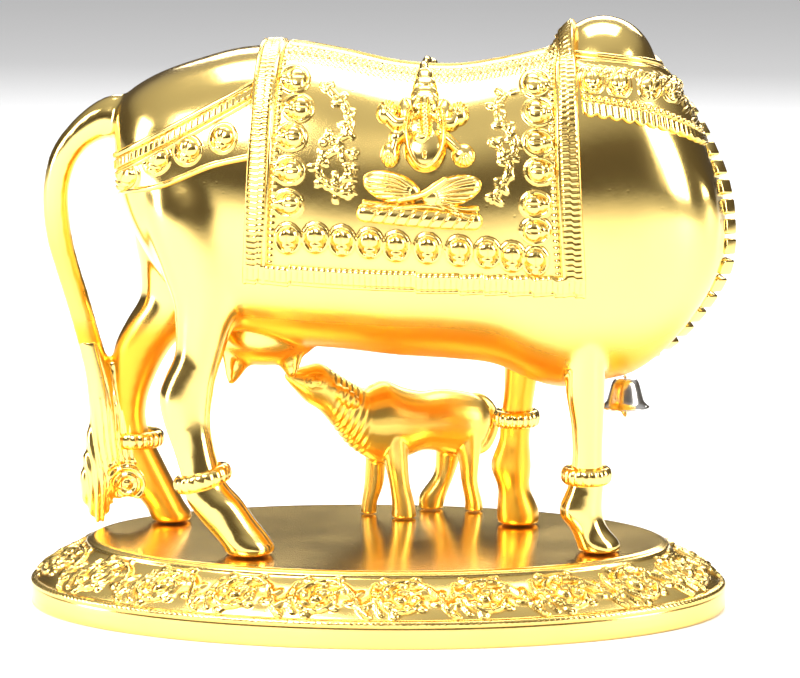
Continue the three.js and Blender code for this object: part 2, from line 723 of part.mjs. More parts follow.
const gilt = () => new THREE.MeshStandardMaterial({ color: 0xd4af55, roughness: 0.22, metalness: 1 });
const satinGilt = () => new THREE.MeshStandardMaterial({ color: 0xe0a030, roughness: 0.36, metalness: 1 });
const nickel = () => new THREE.MeshStandardMaterial({ color: 0xbcb6aa, roughness: 0.25, metalness: 1 });

function piece(name, body, material) {
  const mesh = new THREE.Mesh(shapeOf(body), material);
  mesh.name = name;
  return mesh;
}

const calfPiece = piece('calf', calf(), satinGilt());
calfPiece.rotation.z = CALF_TURN;
calfPiece.position.set(...CALF_AT);

const figurine = new THREE.Group();
figurine.add(
  piece('plinth', plinth(), gilt()),
  piece('cow', cow(), gilt()),
  calfPiece,
  piece('bell', bell(), nickel()),
  piece('bell_clapper', clapper(), nickel()),
  piece('bell_ring', ring(), nickel()),
);

export default figurine;
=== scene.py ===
import bpy
import bmesh
import math
import numpy as np
from mathutils import Matrix, Vector
from mathutils.bvhtree import BVHTree


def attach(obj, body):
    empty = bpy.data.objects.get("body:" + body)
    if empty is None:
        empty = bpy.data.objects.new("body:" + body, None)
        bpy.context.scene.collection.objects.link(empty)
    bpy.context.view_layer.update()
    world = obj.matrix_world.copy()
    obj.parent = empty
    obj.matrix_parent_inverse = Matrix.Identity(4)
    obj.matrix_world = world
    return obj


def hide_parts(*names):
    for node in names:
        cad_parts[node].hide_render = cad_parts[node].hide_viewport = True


# A gilt cow with her calf on an oval plinth. Shapes are worked out in millimetres in the frame of
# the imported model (+X the way the chest points, +Y her left, +Z up) and stored in metres.
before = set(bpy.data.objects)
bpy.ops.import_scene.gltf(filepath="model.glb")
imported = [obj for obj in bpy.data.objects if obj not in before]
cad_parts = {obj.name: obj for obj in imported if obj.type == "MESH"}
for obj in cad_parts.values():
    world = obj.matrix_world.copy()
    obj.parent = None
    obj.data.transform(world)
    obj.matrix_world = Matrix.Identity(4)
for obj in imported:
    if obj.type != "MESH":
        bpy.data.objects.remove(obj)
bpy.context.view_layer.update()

MM = 0.001
ACROSS = np.array([0.0, 1.0, 0.0])
UPRIGHT = np.array([0.0, 0.0, 1.0])
DOWN = np.array([0.0, 0.0, -1.0])

# Camera, floor and lights

LOOKED_AT = np.array([5.4, 0.0, 63.5])
CAMERA_DISTANCE = 1000.0
CAMERA_RISE = math.radians(9.2)
CAMERA_TURN = math.radians(3.5)
BACKWARD = np.array([
    math.sin(CAMERA_TURN) * math.cos(CAMERA_RISE),
    -math.cos(CAMERA_TURN) * math.cos(CAMERA_RISE),
    math.sin(CAMERA_RISE),
])
CAMERA_PLACE = LOOKED_AT + CAMERA_DISTANCE * BACKWARD


def set_camera():
    data = bpy.data.cameras.new("camera")
    data.sensor_width = 36
    data.lens = 191.25
    data.clip_start = 0.05
    data.clip_end = 30
    camera = bpy.data.objects.new("camera", data)
    camera.location = Vector(CAMERA_PLACE * MM)
    camera.rotation_euler = Vector(-BACKWARD).to_track_quat("-Z", "Y").to_euler()
    bpy.context.scene.collection.objects.link(camera)
    bpy.context.scene.camera = camera


def soft_light(name, place, size, power, colour=(1, 1, 1)):
    data = bpy.data.lights.new(name, "AREA")
    data.shape = "RECTANGLE"
    data.size, data.size_y = size
    data.energy = power
    data.color = colour
    lamp = bpy.data.objects.new(name, data)
    lamp.location = place
    aim = Vector((0, 0, 0.06)) - Vector(place)
    lamp.rotation_euler = aim.to_track_quat("-Z", "Y").to_euler()
    bpy.context.scene.collection.objects.link(lamp)


def light_studio():
    world = bpy.data.worlds.new("studio")
    bpy.context.scene.world = world
    world.use_nodes = True
    nodes, links = world.node_tree.nodes, world.node_tree.links
    sky = nodes["Background"]
    spread = nodes.new("ShaderNodeTexCoord")
    parts = nodes.new("ShaderNodeSeparateXYZ")
    ramp = nodes.new("ShaderNodeValToRGB")
    links.new(spread.outputs["Generated"], parts.inputs[0])
    links.new(parts.outputs["Z"], ramp.inputs[0])
    links.new(ramp.outputs[0], sky.inputs["Color"])
    stops = ramp.color_ramp.elements
    stops[0].position, stops[0].color = 0.0, (0.10, 0.085, 0.07, 1)
    stops[1].position, stops[1].color = 1.0, (0.85, 0.86, 0.88, 1)
    middle = stops.new(0.35)
    middle.color = (0.16, 0.14, 0.12, 1)
    high = stops.new(0.6)
    high.color = (0.55, 0.55, 0.55, 1)
    sky.inputs["Strength"].default_value = 0.8
    soft_light("key_softbox", (-0.45, -0.75, 0.75), (0.55, 0.4), 14)
    soft_light("right_softbox", (0.95, -0.35, 0.45), (0.35, 0.7), 9)
    soft_light("left_strip", (-0.95, -0.2, 0.3), (0.25, 0.7), 6)
    soft_light("top_softbox", (0.0, 0.25, 1.1), (0.9, 0.6), 12)
    soft_light("back_strip", (0.1, 0.95, 0.6), (0.9, 0.3), 6)
    bpy.context.scene.view_settings.view_transform = "Standard"


def lay_floor():
    bm = bmesh.new()
    bmesh.ops.create_grid(bm, x_segments=4, y_segments=4, size=8)
    floor = stored("studio_floor", bm, floor_paper(), scale=1.0)


# Materials

def new_material(name):
    material = bpy.data.materials.new(name)
    material.use_nodes = True
    nodes, links = material.node_tree.nodes, material.node_tree.links
    return material, nodes, links, nodes["Principled BSDF"]


def floor_paper():
    material, nodes, links, shader = new_material("floor_paper")
    shader.inputs["Base Color"].default_value = (0.86, 0.86, 0.86, 1)
    shader.inputs["Roughness"].default_value = 0.7
    return material


def blended(nodes, links, factor, low, high):
    mix = nodes.new("ShaderNodeMix")
    mix.data_type = "RGBA"
    links.new(factor, mix.inputs["Factor"])
    for socket, value in ((mix.inputs["A"], low), (mix.inputs["B"], high)):
        if isinstance(value, tuple):
            socket.default_value = (*value, 1)
        else:
            links.new(value, socket)
    return mix.outputs["Result"]


def ranged(nodes, links, value, low, high, to_low=0.0, to_high=1.0):
    step = nodes.new("ShaderNodeMapRange")
    links.new(value, step.inputs["Value"])
    for key, number in (("From Min", low), ("From Max", high), ("To Min", to_low), ("To Max", to_high)):
        step.inputs[key].default_value = number
    return step.outputs["Result"]


def grain(nodes, links, where, size, detail=2.0, roughness=0.5):
    noise = nodes.new("ShaderNodeTexNoise")
    links.new(where, noise.inputs["Vector"])
    noise.inputs["Scale"].default_value = size
    noise.inputs["Detail"].default_value = detail
    noise.inputs["Roughness"].default_value = roughness
    return noise.outputs["Fac"]


def bumped(nodes, links, height, strength, distance, under=None):
    bump = nodes.new("ShaderNodeBump")
    bump.inputs["Strength"].default_value = strength
    bump.inputs["Distance"].default_value = distance
    links.new(height, bump.inputs["Height"])
    if under is not None:
        links.new(under, bump.inputs["Normal"])
    return bump.outputs["Normal"]


def gilt(name, pale, deep, smooth, dull, pitting=0.5):
    """Gold plate: pale and polished on the high places, duller in hollows and satin parts, with painted shade: a deep
    orange painted into the hollows and undersides for their shade and the reflected gold.
    """
    material, nodes, links, shader = new_material(name)
    where = nodes.new("ShaderNodeTexCoord").outputs["Object"]
    hollow_painted_shade = nodes.new("ShaderNodeAttribute")
    hollow_painted_shade.attribute_name = "hollow_painted_shade"
    satin_and_painted_shade = nodes.new("ShaderNodeAttribute")
    satin_and_painted_shade.attribute_name = "satin_and_painted_shade"
    clouds = grain(nodes, links, where, 42, 3)
    fine = grain(nodes, links, where, 900, 2)
    # Painted shade and painted reflection: where the hollow and underside masks are high, the base colour turns deep
    # orange and the roughness duller.
    shade_and_satin_mask = nodes.new("ShaderNodeMath")
    shade_and_satin_mask.operation = "MAXIMUM"
    links.new(ranged(nodes, links, hollow_painted_shade.outputs["Fac"], 0.0, 1.0), shade_and_satin_mask.inputs[0])
    links.new(satin_and_painted_shade.outputs["Fac"], shade_and_satin_mask.inputs[1])
    tinted = blended(nodes, links, ranged(nodes, links, clouds, 0.35, 0.7), pale, tuple(
        0.93 * p + 0.07 * d for p, d in zip(pale, deep)))
    colour = blended(nodes, links, shade_and_satin_mask.outputs[0], tinted, deep)
    links.new(colour, shader.inputs["Base Color"])
    shader.inputs["Metallic"].default_value = 1.0
    cloudy = ranged(nodes, links, clouds, 0.3, 0.75, smooth, smooth + 0.06)
    rough = nodes.new("ShaderNodeMix")
    links.new(shade_and_satin_mask.outputs[0], rough.inputs["Factor"])
    links.new(cloudy, rough.inputs["A"])
    rough.inputs["B"].default_value = dull
    links.new(rough.outputs["Result"], shader.inputs["Roughness"])
    pits = nodes.new("ShaderNodeTexVoronoi")
    links.new(where, pits.inputs["Vector"])
    pits.inputs["Scale"].default_value = 420
    dents = ranged(nodes, links, pits.outputs["Distance"], 0.0, 0.16)
    normal = bumped(nodes, links, dents, 0.25 * pitting, 0.00006)
    normal = bumped(nodes, links, fine, 0.12, 0.00005, normal)
    waves = grain(nodes, links, where, 60, 1)
    normal = bumped(nodes, links, waves, 0.18, 0.0006, normal)
    links.new(normal, shader.inputs["Normal"])
    return material


# Making meshes

def through(points, shares):
    """A smooth curve through points, read at shares from 0 to 1 of the way along it."""
    points = np.array(points, float)
    line = np.vstack([2 * points[0] - points[1], points, 2 * points[-1] - points[-2]])
    place = np.clip(np.asarray(shares, float), 0, 1) * (len(points) - 1)
    step = np.minimum(place.astype(int), len(points) - 2)
    t = (place - step)[:, None]
    a, b, c, d = line[step], line[step + 1], line[step + 2], line[step + 3]
    return 0.5 * (2 * b + (c - a) * t + (2 * a - 5 * b + 4 * c - d) * t**2 + (3 * b - 3 * c + d - a) * t**3)


def shaped_grid(across, up, place):
    """A grid of cells whose corners are put where place(u, v) says, u and v running from 0 to 1."""
    bm = bmesh.new()
    bmesh.ops.create_grid(bm, x_segments=across, y_segments=up, size=0.5)
    spots = np.array([corner.co[:] for corner in bm.verts]) + 0.5
    shaped = place(spots[:, 0], spots[:, 1])
    for corner, spot in zip(bm.verts, shaped):
        corner.co = spot
    return bm


def closed_tube(around, rows, place):
    bm = shaped_grid(around, rows, place)
    bmesh.ops.remove_doubles(bm, verts=bm.verts, dist=1e-4)
    rims = [edge for edge in bm.edges if edge.is_boundary]
    if rims:
        bmesh.ops.holes_fill(bm, edges=rims, sides=0)
    bmesh.ops.recalc_face_normals(bm, faces=bm.faces)
    return bm


def unit(vectors):
    return vectors / np.maximum(np.linalg.norm(vectors, axis=-1, keepdims=True), 1e-9)


def limb(sections, side=ACROSS, along=None, around=28, rows=None, grow=0.0):
    """A limb through sections (x, y, z, half width, half depth), its depth lying along side."""
    sections = np.array(sections, float)

    def place(u, v):
        centre = through(sections[:, :3], v)
        size = through(sections[:, 3:5], v) + grow
        if along is None:
            heading = unit(through(sections[:, :3], v + 0.01) - through(sections[:, :3], v - 0.01))
        else:
            heading = np.broadcast_to(along, centre.shape)
        depth = unit(side - heading * (heading @ side)[:, None])
        width = np.cross(depth, heading)
        angle = 2 * np.pi * u
        return (centre + depth * (np.sin(angle) * size[:, 1])[:, None]
                + width * (np.cos(angle) * size[:, 0])[:, None])

    return closed_tube(around, rows or 5 * (len(sections) - 1), place)


def ball(at, half, around=40, down=24):
    bm = bmesh.new()
    bmesh.ops.create_uvsphere(bm, u_segments=around, v_segments=down, radius=1)
    bmesh.ops.scale(bm, vec=half, verts=bm.verts)
    bmesh.ops.translate(bm, vec=at, verts=bm.verts)
    return bm


def merged(parts):
    whole = bmesh.new()
    for part in parts:
        mesh = bpy.data.meshes.new("part")
        part.to_mesh(mesh)
        part.free()
        whole.from_mesh(mesh)
        bpy.data.meshes.remove(mesh)
    return whole


def cast_together(parts, cell, smoothing):
    """Runs overlapping closed parts into one skin of even cells, then eases it."""
    whole = merged(parts)
    mesh = bpy.data.meshes.new("casting")
    whole.to_mesh(mesh)
    whole.free()
    helper = bpy.data.objects.new("casting", mesh)
    bpy.context.scene.collection.objects.link(helper)
    remesh = helper.modifiers.new("skin", "REMESH")
    remesh.mode = "VOXEL"
    remesh.voxel_size = cell
    ease = helper.modifiers.new("ease", "SMOOTH")
    ease.factor = 0.5
    ease.iterations = smoothing
    bpy.context.view_layer.update()
    ready = helper.evaluated_get(bpy.context.evaluated_depsgraph_get())
    bm = bmesh.new()
    bm.from_mesh(ready.to_mesh())
    ready.to_mesh_clear()
    bpy.data.objects.remove(helper)
    bpy.data.meshes.remove(mesh)
    return bm


def stored(name, bm, material, scale=MM, smooth=True, marks=None):
    """Keeps a finished bmesh as an object in metres, with its per-corner marks as attributes."""
    bmesh.ops.scale(bm, vec=(scale, scale, scale), verts=bm.verts)
    mesh = bpy.data.meshes.new(name)
    bm.to_mesh(mesh)
    bm.free()
    mesh.polygons.foreach_set("use_smooth", [smooth] * len(mesh.polygons))
    for mark, values in (marks or {}).items():
        layer = mesh.attributes.new(mark, "FLOAT", "POINT")
        layer.data.foreach_set("value", np.asarray(values, np.float32))
    mesh.materials.append(material)
    piece = bpy.data.objects.new(name, mesh)
    bpy.context.scene.collection.objects.link(piece)
    return piece


def belongs(piece, node):
    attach(piece, "root")
    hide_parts(node)
    return piece


# Relief drawn on a flank

def seen_on_flank(spots):
    """Where points show on the upright plane y = -29 from the camera: the relief is drawn there."""
    lines = spots - CAMERA_PLACE
    share = (-29 - CAMERA_PLACE[1]) / lines[..., 1]
    return (CAMERA_PLACE[0] + share * lines[..., 0], CAMERA_PLACE[2] + share * lines[..., 2])


def eased(value):
    value = np.clip(value, 0, 1)
    return value * value * (3 - 2 * value)


def round_top(distance, half):
    return np.sqrt(np.clip(1 - (distance / half) ** 2, 0, None))


def dome(x, z, at, half, height, turn=0.0, full=2.0):
    """A rounded swelling with its rim on an ellipse; a larger full gives a flatter crown."""
    c, s = math.cos(turn), math.sin(turn)
    a = ((x - at[0]) * c + (z - at[1]) * s) / half[0]
    b = (-(x - at[0]) * s + (z - at[1]) * c) / half[1]
    return height * np.clip(1 - (a * a + b * b) ** (full / 2), 0, None) ** 0.5


def line_distance(x, z, points, bends=5):
    line = through(points, np.linspace(0, 1, bends * (len(points) - 1) + 1)) if bends > 1 else np.array(points)
    best = np.full(x.shape, 1e9)
    for start, end in zip(line[:-1], line[1:]):
        run = end - start
        share = np.clip(((x - start[0]) * run[0] + (z - start[1]) * run[1]) / max(run @ run, 1e-9), 0, 1)
        best = np.minimum(best, np.hypot(x - start[0] - share * run[0], z - start[1] - share * run[1]))
    return best


def near(x, z, points, reach):
    points = np.array(points)
    return ((x > points[:, 0].min() - reach) & (x < points[:, 0].max() + reach)
            & (z > points[:, 1].min() - reach) & (z < points[:, 1].max() + reach))


class Relief:
    """Heights in millimetres over places (x, z), laid one over another."""

    def __init__(self, x, z):
        self.x, self.z = x, z
        self.height = np.zeros(x.shape)

    def lay(self, extra, floor=0.0):
        self.height = np.maximum(self.height, floor + extra)

    def add_dome(self, at, half, height, turn=0.0, full=2.0, floor=0.0):
        reach = max(half)
        spot = near(self.x, self.z, [at], reach)
        extra = dome(self.x[spot], self.z[spot], at, half, height, turn, full)
        lifted = np.where(extra > 0, floor + extra, 0)
        self.height[spot] = np.maximum(self.height[spot], lifted)

    def add_line(self, points, half, height, floor=0.0, bends=5):
        spot = near(self.x, self.z, points, half + 1.5)
        gap = line_distance(self.x[spot], self.z[spot], points, bends)
        extra = height * round_top(gap, half)
        lifted = np.where(extra > 0, floor + extra, 0)
        self.height[spot] = np.maximum(self.height[spot], lifted)

    def cut_line(self, points, half, depth, bends=5):
        spot = near(self.x, self.z, points, half + 1.5)
        gap = line_distance(self.x[spot], self.z[spot], points, bends)
        self.height[spot] -= depth * round_top(gap, half)

    def add_ring(self, at, half, width, height, turn=0.0):
        c, s = math.cos(turn), math.sin(turn)
        spot = near(self.x, self.z, [at], max(half) + 1)
        x, z = self.x[spot] - at[0], self.z[spot] - at[1]
        a, b = (x * c + z * s) / half[0], (-x * s + z * c) / half[1]
        gap = np.abs(np.hypot(a, b) - 1) * min(half)
        self.height[spot] = np.maximum(self.height[spot], height * round_top(gap, width))

    def pot_bead(self, at, turn, size=1.0):
        """A pot-shaped bead: round body, collar and drop, pointing along turn from its body."""
        c, s = math.cos(turn), math.sin(turn)

        def out(far):
            return (at[0] + c * far * size, at[1] + s * far * size)

        self.add_ring(out(0.4), (3.4 * size, 3.0 * size), 0.35, 0.45, turn)
        self.add_dome(out(-0.3), (2.2 * size, 2.5 * size), 1.7 * size, turn, 2.6)
        self.add_dome(out(1.9), (0.9 * size, 1.7 * size), 1.3 * size, turn)
        self.add_dome(out(3.0), (1.0 * size, 1.1 * size), 1.1 * size, turn)
        self.cut_line([out(-1.6), out(1.2)], 0.3, 0.25, 1)

    def leaf(self, at, turn, length, width, height=0.6):
        c, s = math.cos(turn), math.sin(turn)
        middle = (at[0] + c * length / 2, at[1] + s * length / 2)
        self.add_dome(middle, (length / 2, width / 2), height, turn)
        self.cut_line([at, (at[0] + c * length, at[1] + s * length)], 0.22, 0.3, 1)


def hollowed(height, reach=6):
    """How far each place lies below its surroundings, 0 to 1: the mask for the painted shade in recesses."""
    around = height.copy()
    for _ in range(reach):
        padded = np.pad(around, 1, mode="edge")
        around = (padded[:-2, 1:-1] + padded[2:, 1:-1] + padded[1:-1, :-2] + padded[1:-1, 2:] + around) / 5
    return np.clip((around - height) * 3.0, 0, 1)


def grid_normals(spots):
    along = np.gradient(spots, axis=1)
    upward = np.gradient(spots, axis=0)
    return unit(np.cross(along, upward))


def smoothed(spots, turns):
    for _ in range(turns):
        inner = (spots[:-2, 1:-1] + spots[2:, 1:-1] + spots[1:-1, :-2] + spots[1:-1, 2:]) / 4
        spots[1:-1, 1:-1] = 0.5 * spots[1:-1, 1:-1] + 0.5 * inner
    return spots


def relief_sheet(name, spots, outward, height, material, skirt=1.6, cut=None):
    """A carved skin over a grid of places: its rim turns down into the body under it.
    Cells lower than cut everywhere are left out, as they lie hidden under their neighbour."""
    rows, columns = height.shape
    spots = np.pad(spots, ((1, 1), (1, 1), (0, 0)), mode="edge")
    outward = np.pad(outward, ((1, 1), (1, 1), (0, 0)), mode="edge")
    # Painted shade mask: how far each place lies in a recess, darkened to deep orange by the gilt.
    marks = np.pad(hollowed(height), 1, mode="edge")
    height = np.pad(height, 1, mode="constant", constant_values=-skirt)
    placed = spots + outward * height[..., None]
    bm = bmesh.new()
    bmesh.ops.create_grid(bm, x_segments=columns + 1, y_segments=rows + 1, size=0.5)
    order = []
    for corner in bm.verts:
        i = round((corner.co.x + 0.5) * (columns + 1))
        j = round((corner.co.y + 0.5) * (rows + 1))
        order.append((j, i))
    order = np.array(order)
    for corner, spot in zip(bm.verts, placed[order[:, 0], order[:, 1]]):
        corner.co = spot
    mark = bm.verts.layers.float.new("hollow_painted_shade")
    for corner, value in zip(bm.verts, marks[order[:, 0], order[:, 1]]):
        corner[mark] = value
    if cut is not None:
        low = height[order[:, 0], order[:, 1]] < cut
        gone = [face for face in bm.faces if all(low[corner.index] for corner in face.verts)]
        bmesh.ops.delete(bm, geom=gone, context="FACES")
    return stored(name, bm, material)


# The cow's body

BODY = [
    (-61.3, 118.4, 110, 103.0, 4.5), (-59.8, 120.2, 108, 96.5, 10), (-56, 123.3, 105, 87.5, 16),
    (-50, 126.5, 102, 77.8, 20.5), (-42, 129.3, 99, 69.5, 23.5), (-32, 132.0, 97, 65.0, 25.5),
    (-20, 132.7, 95, 62.6, 27.5), (-8, 130.8, 93, 61.7, 28.5), (5, 128.0, 92, 60.3, 29),
    (18, 127.3, 92, 59.6, 29), (28, 128.7, 93, 58.4, 28), (36, 130.4, 94, 54.8, 27),
    (44, 132.0, 95, 52.8, 26), (52, 133.4, 95, 54.4, 25), (60, 132.3, 95, 56.4, 23),
    (67, 127.0, 94, 61.4, 20), (73, 118.4, 92, 68.2, 16.5), (78, 106.3, 90, 75.4, 11.5),
    (81.6, 95.0, 88, 82.5, 4.5),
]
BODY_SQUARENESS = 2.3
HUMP_AT, HUMP_HALF = (52.7, 0, 126.4), (12.7, 13, 13.7)
HIND_NEAR = [
    (-42, -9, 108, 13, 13), (-41, -11, 98, 14, 14), (-39.8, -12.5, 90, 13, 13.2), (-38.6, -14, 82, 10.8, 11.5),
    (-37.9, -15.5, 74.5, 8.6, 9.3), (-39.1, -17, 67.9, 6.6, 7.2), (-40.2, -17.8, 62.1, 5.7, 6.1),
    (-41.9, -18.5, 57.5, 6, 5.8), (-43.1, -19.2, 52.6, 6.3, 5.4), (-42.8, -20, 46.6, 5.5, 4.8),
    (-41, -20.8, 39.7, 4.8, 4.4), (-38.9, -21.3, 33.2, 5, 4.8), (-36.5, -21.7, 28.8, 6.5, 5.5),
    (-33.6, -22.1, 24.7, 6.5, 5.4), (-30.6, -22.4, 21.2, 6.4, 5.6), (-28.4, -22.7, 18.3, 6.1, 6),
    (-28.3, -22.7, 16.3, 5.4, 5.6),
]
HIND_FAR = [
    (-44.4, 9, 106, 13.6, 13), (-44.6, 10.5, 96, 14.4, 13.5), (-44.8, 11.5, 86, 14, 12.4),
    (-45.6, 11.8, 78, 11.8, 10.4), (-47.6, 11.6, 71.5, 9.8, 8.8), (-52.2, 11.3, 65.5, 8.6, 7.6),
    (-56.6, 11.2, 59.6, 7, 6.4), (-58.8, 11.8, 53.2, 5.4, 5.4), (-60.3, 12.6, 46, 4.2, 4.6),
    (-60.4, 13.4, 39.3, 4.2, 4.4), (-58.7, 14.1, 32.4, 5.5, 5), (-55.8, 14.6, 25.5, 5.9, 5.2),
    (-52.4, 14.9, 20.4, 5, 5), (-50.9, 15.1, 18, 5.2, 5.5), (-50.7, 15.1, 16.3, 4.8, 5.2),
]
FORE_NEAR = [
    (53, -11, 106, 13, 12.5), (53, -12, 94, 12, 12), (52, -13.5, 84, 9.5, 10), (50.8, -14, 76, 6.4, 7.4),
    (49.9, -14, 68.3, 4.5, 5.6), (49.4, -14, 61, 4.5, 5), (49.3, -14, 54, 4.6, 4.8), (49.8, -14, 46.5, 3.9, 4.2),
    (49.9, -14.1, 38.5, 3.6, 3.9), (49.6, -14.1, 32, 4.1, 4.2), (48.4, -14.2, 25.7, 5.1, 4.8),
    (50.4, -14.2, 21.6, 4.4, 4.6), (52.4, -14.3, 18.6, 5.1, 5.2), (52.9, -14.3, 16.3, 5, 5.2),
]
FORE_FAR = [
    (40, 12, 84, 10, 11), (38, 13.4, 73, 8, 8.5), (35.2, 14.4, 63, 5.6, 6), (33.8, 15, 55.5, 4.4, 4.8),
    (33, 15.3, 48, 3.7, 4.2), (32.2, 15.7, 41, 3.8, 4), (31.9, 16, 36.7, 3.7, 3.9), (31.1, 16.3, 30.6, 4.9, 4.6),
    (31.8, 16.5, 25, 3.9, 4.2), (32.7, 16.7, 20, 5, 5), (32.9, 16.7, 16.3, 5.1, 5.2),
]
TAIL = [
    (-56, 0, 113, 6.6, 5.6), (-60, 0, 115.4, 5.7, 5), (-64.3, 0.6, 114.8, 4.6, 4.2), (-69.8, 1.6, 111.2, 3.6, 3.5),
    (-74.2, 3, 105.4, 3.3, 3.3), (-76.3, 4.5, 97, 3.1, 3.1), (-76, 6, 87.4, 3.1, 3), (-74.3, 7.2, 79.4, 2.9, 2.9),
    (-71.9, 8.2, 70.8, 2.9, 2.8), (-69.4, 9.2, 61, 2.9, 2.8), (-67.6, 9.7, 54, 3.1, 3.2),
]
TUFT = [
    (-69.4, 9.2, 61, 2.9, 2.8), (-67.4, 9.8, 53, 3.2, 3.4), (-66.2, 10, 44, 3.6, 3.8), (-66.2, 10.2, 36, 4.5, 4),
    (-66.9, 10.3, 28.5, 5.1, 3.9), (-67.8, 10.4, 22.4, 3.9, 3), (-67.7, 10.4, 16.6, 1, 0.9),
]
TUFT_WEB = [
    (-62.5, 11.5, 56, 4.4, 2.8), (-62.6, 11.6, 46, 4.4, 3), (-62.2, 11.8, 36, 4.8, 3),
    (-61, 11.8, 28.5, 6.8, 3), (-60.4, 11.8, 22.6, 6.2, 2.4),
]
NECK = [
    (60, -8, 92, 20, 24), (62, 4, 94, 19.4, 24), (62, 13, 99, 17.4, 19.5), (60.5, 20, 105, 13.5, 14),
    (59, 26, 109.5, 9.5, 10),
]
HEAD = [
    (59.4, 20, 111.5, 6, 6.5), (57.8, 24, 109.8, 8.6, 8.4), (55.8, 28, 106.6, 9.2, 9), (53.4, 32.4, 102.4, 8, 8.2),
    (50.6, 37, 97.4, 6.4, 7), (48, 41.2, 92.6, 5.8, 6), (46.4, 43.8, 89.6, 5.7, 5.4), (45.4, 45.6, 87.6, 4.2, 3.6),
]
HORN = [
    (3.5, 0, 0, 3.1, 3.1), (8, 0.8, 1.4, 2.7, 2.7), (11.6, 1.8, 4.6, 2.1, 2.1), (12.2, 2.6, 9, 1.3, 1.3),
    (10.4, 3.2, 12.4, 0.5, 0.5),
]
EAR = [(4, 1, -3, 1.6, 1.2), (8, 2.2, -4.2, 3, 1.3), (13, 4.2, -6, 3.2, 1.2), (17.5, 6.4, -8.6, 0.9, 0.7)]
POLL = (58, 23.6, 113)
HEAD_TURN = math.radians(28)
UDDER_AT, UDDER_HALF = (-26.4, -1, 66), (13.6, 12.5, 8.8)
TEATS = [((-34, -6, 53.2), 2.5), ((-19.6, -6, 54.6), -1.5), ((-33, 6.5, 55), 2), ((-20.4, 7.5, 56.2), -1.5)]


def barrel():
    body = np.array(BODY)

    def squared(value):
        return np.sign(value) * np.abs(value) ** (2 / BODY_SQUARENESS)

    def place(u, v):
        at = through(body, v)
        sine, cosine = np.sin(2 * np.pi * u), np.cos(2 * np.pi * u)
        reach = np.where(cosine > 0, at[:, 2] - at[:, 3], at[:, 1] - at[:, 2])
        return np.stack([at[:, 0], squared(sine) * at[:, 4], at[:, 2] - squared(cosine) * reach], axis=1)

    return closed_tube(72, 90, place)


def on_head(sections, side):
    bm = limb(sections, side=UPRIGHT, around=20)
    bmesh.ops.scale(bm, vec=(side, 1, 1), verts=bm.verts)
    bmesh.ops.rotate(bm, cent=(0, 0, 0), matrix=Matrix.Rotation(HEAD_TURN, 3, "Z"), verts=bm.verts)
    bmesh.ops.translate(bm, vec=POLL, verts=bm.verts)
    bmesh.ops.recalc_face_normals(bm, faces=bm.faces)
    return bm


def cow_body():
    trunk = cast_together([
        barrel(),
        ball(HUMP_AT, HUMP_HALF),
        limb(HIND_NEAR[:6], along=DOWN),
        limb(HIND_FAR[:6], along=DOWN),
        limb(FORE_NEAR[:5], along=DOWN),
        limb(NECK, side=UPRIGHT, around=40),
    ], 1.0, 14)
    sideways = np.array([math.cos(HEAD_TURN), math.sin(HEAD_TURN), 0])
    parts = [
        trunk,
        limb(HIND_NEAR[3:], along=DOWN),
        limb(HIND_FAR[3:], along=DOWN),
        limb(FORE_NEAR[2:], along=DOWN),
        limb(FORE_FAR, along=DOWN),
        limb(TAIL),
        ball(UDDER_AT, UDDER_HALF),
        limb([(x, y, z, deep, wide) for x, y, z, wide, deep in HEAD], side=sideways),
    ]
    for (x, y, z), lean in TEATS:
        parts.append(limb([(x + lean, 0.8 * y, z + 9, 5.2, 5), (x + 0.5 * lean, 0.9 * y, z + 4.5, 3, 3),
                           (x, y, z, 0.9, 0.9)], along=DOWN))
    for side in (1, -1):
        parts.append(on_head(HORN, side))
        parts.append(on_head(EAR, side))
    return cast_together(parts, 0.8, 6)


def bare_barrel():
    """The trunk without neck or head, which lean over the far flank and would catch its cloth."""
    return cast_together([barrel(), ball(HUMP_AT, HUMP_HALF), limb(HIND_FAR[:6], along=DOWN)], 1.0, 14)


def satin_and_shade_marks(bm):
    """Satin finish with painted shade and painted reflection of the gold below, on what faces down or inward between
    the legs; polished elsewhere.
    """
    bm.normal_update()
    marks = []
    for corner in bm.verts:
        facing, spot = corner.normal, corner.co
        under = eased_number((-facing.z - 0.25) / 0.5) * eased_number((80 - spot.z) / 14)
        inner = eased_number((facing.y * (1 if spot.y < 0 else -1) - 0.1) / 0.5) * eased_number((72 - spot.z) / 10)
        far = eased_number((spot.y - 2) / 4) * eased_number((66 - spot.z) / 8)
        tail = eased_number((-60 - spot.x) / 4) * eased_number((100 - spot.z) / 20) * 0.5
        marks.append(max(under, inner, 0.75 * far, tail))
    return marks


def eased_number(value):
    value = min(max(value, 0.0), 1.0)
    return value * value * (3 - 2 * value)


# Saddle cloth

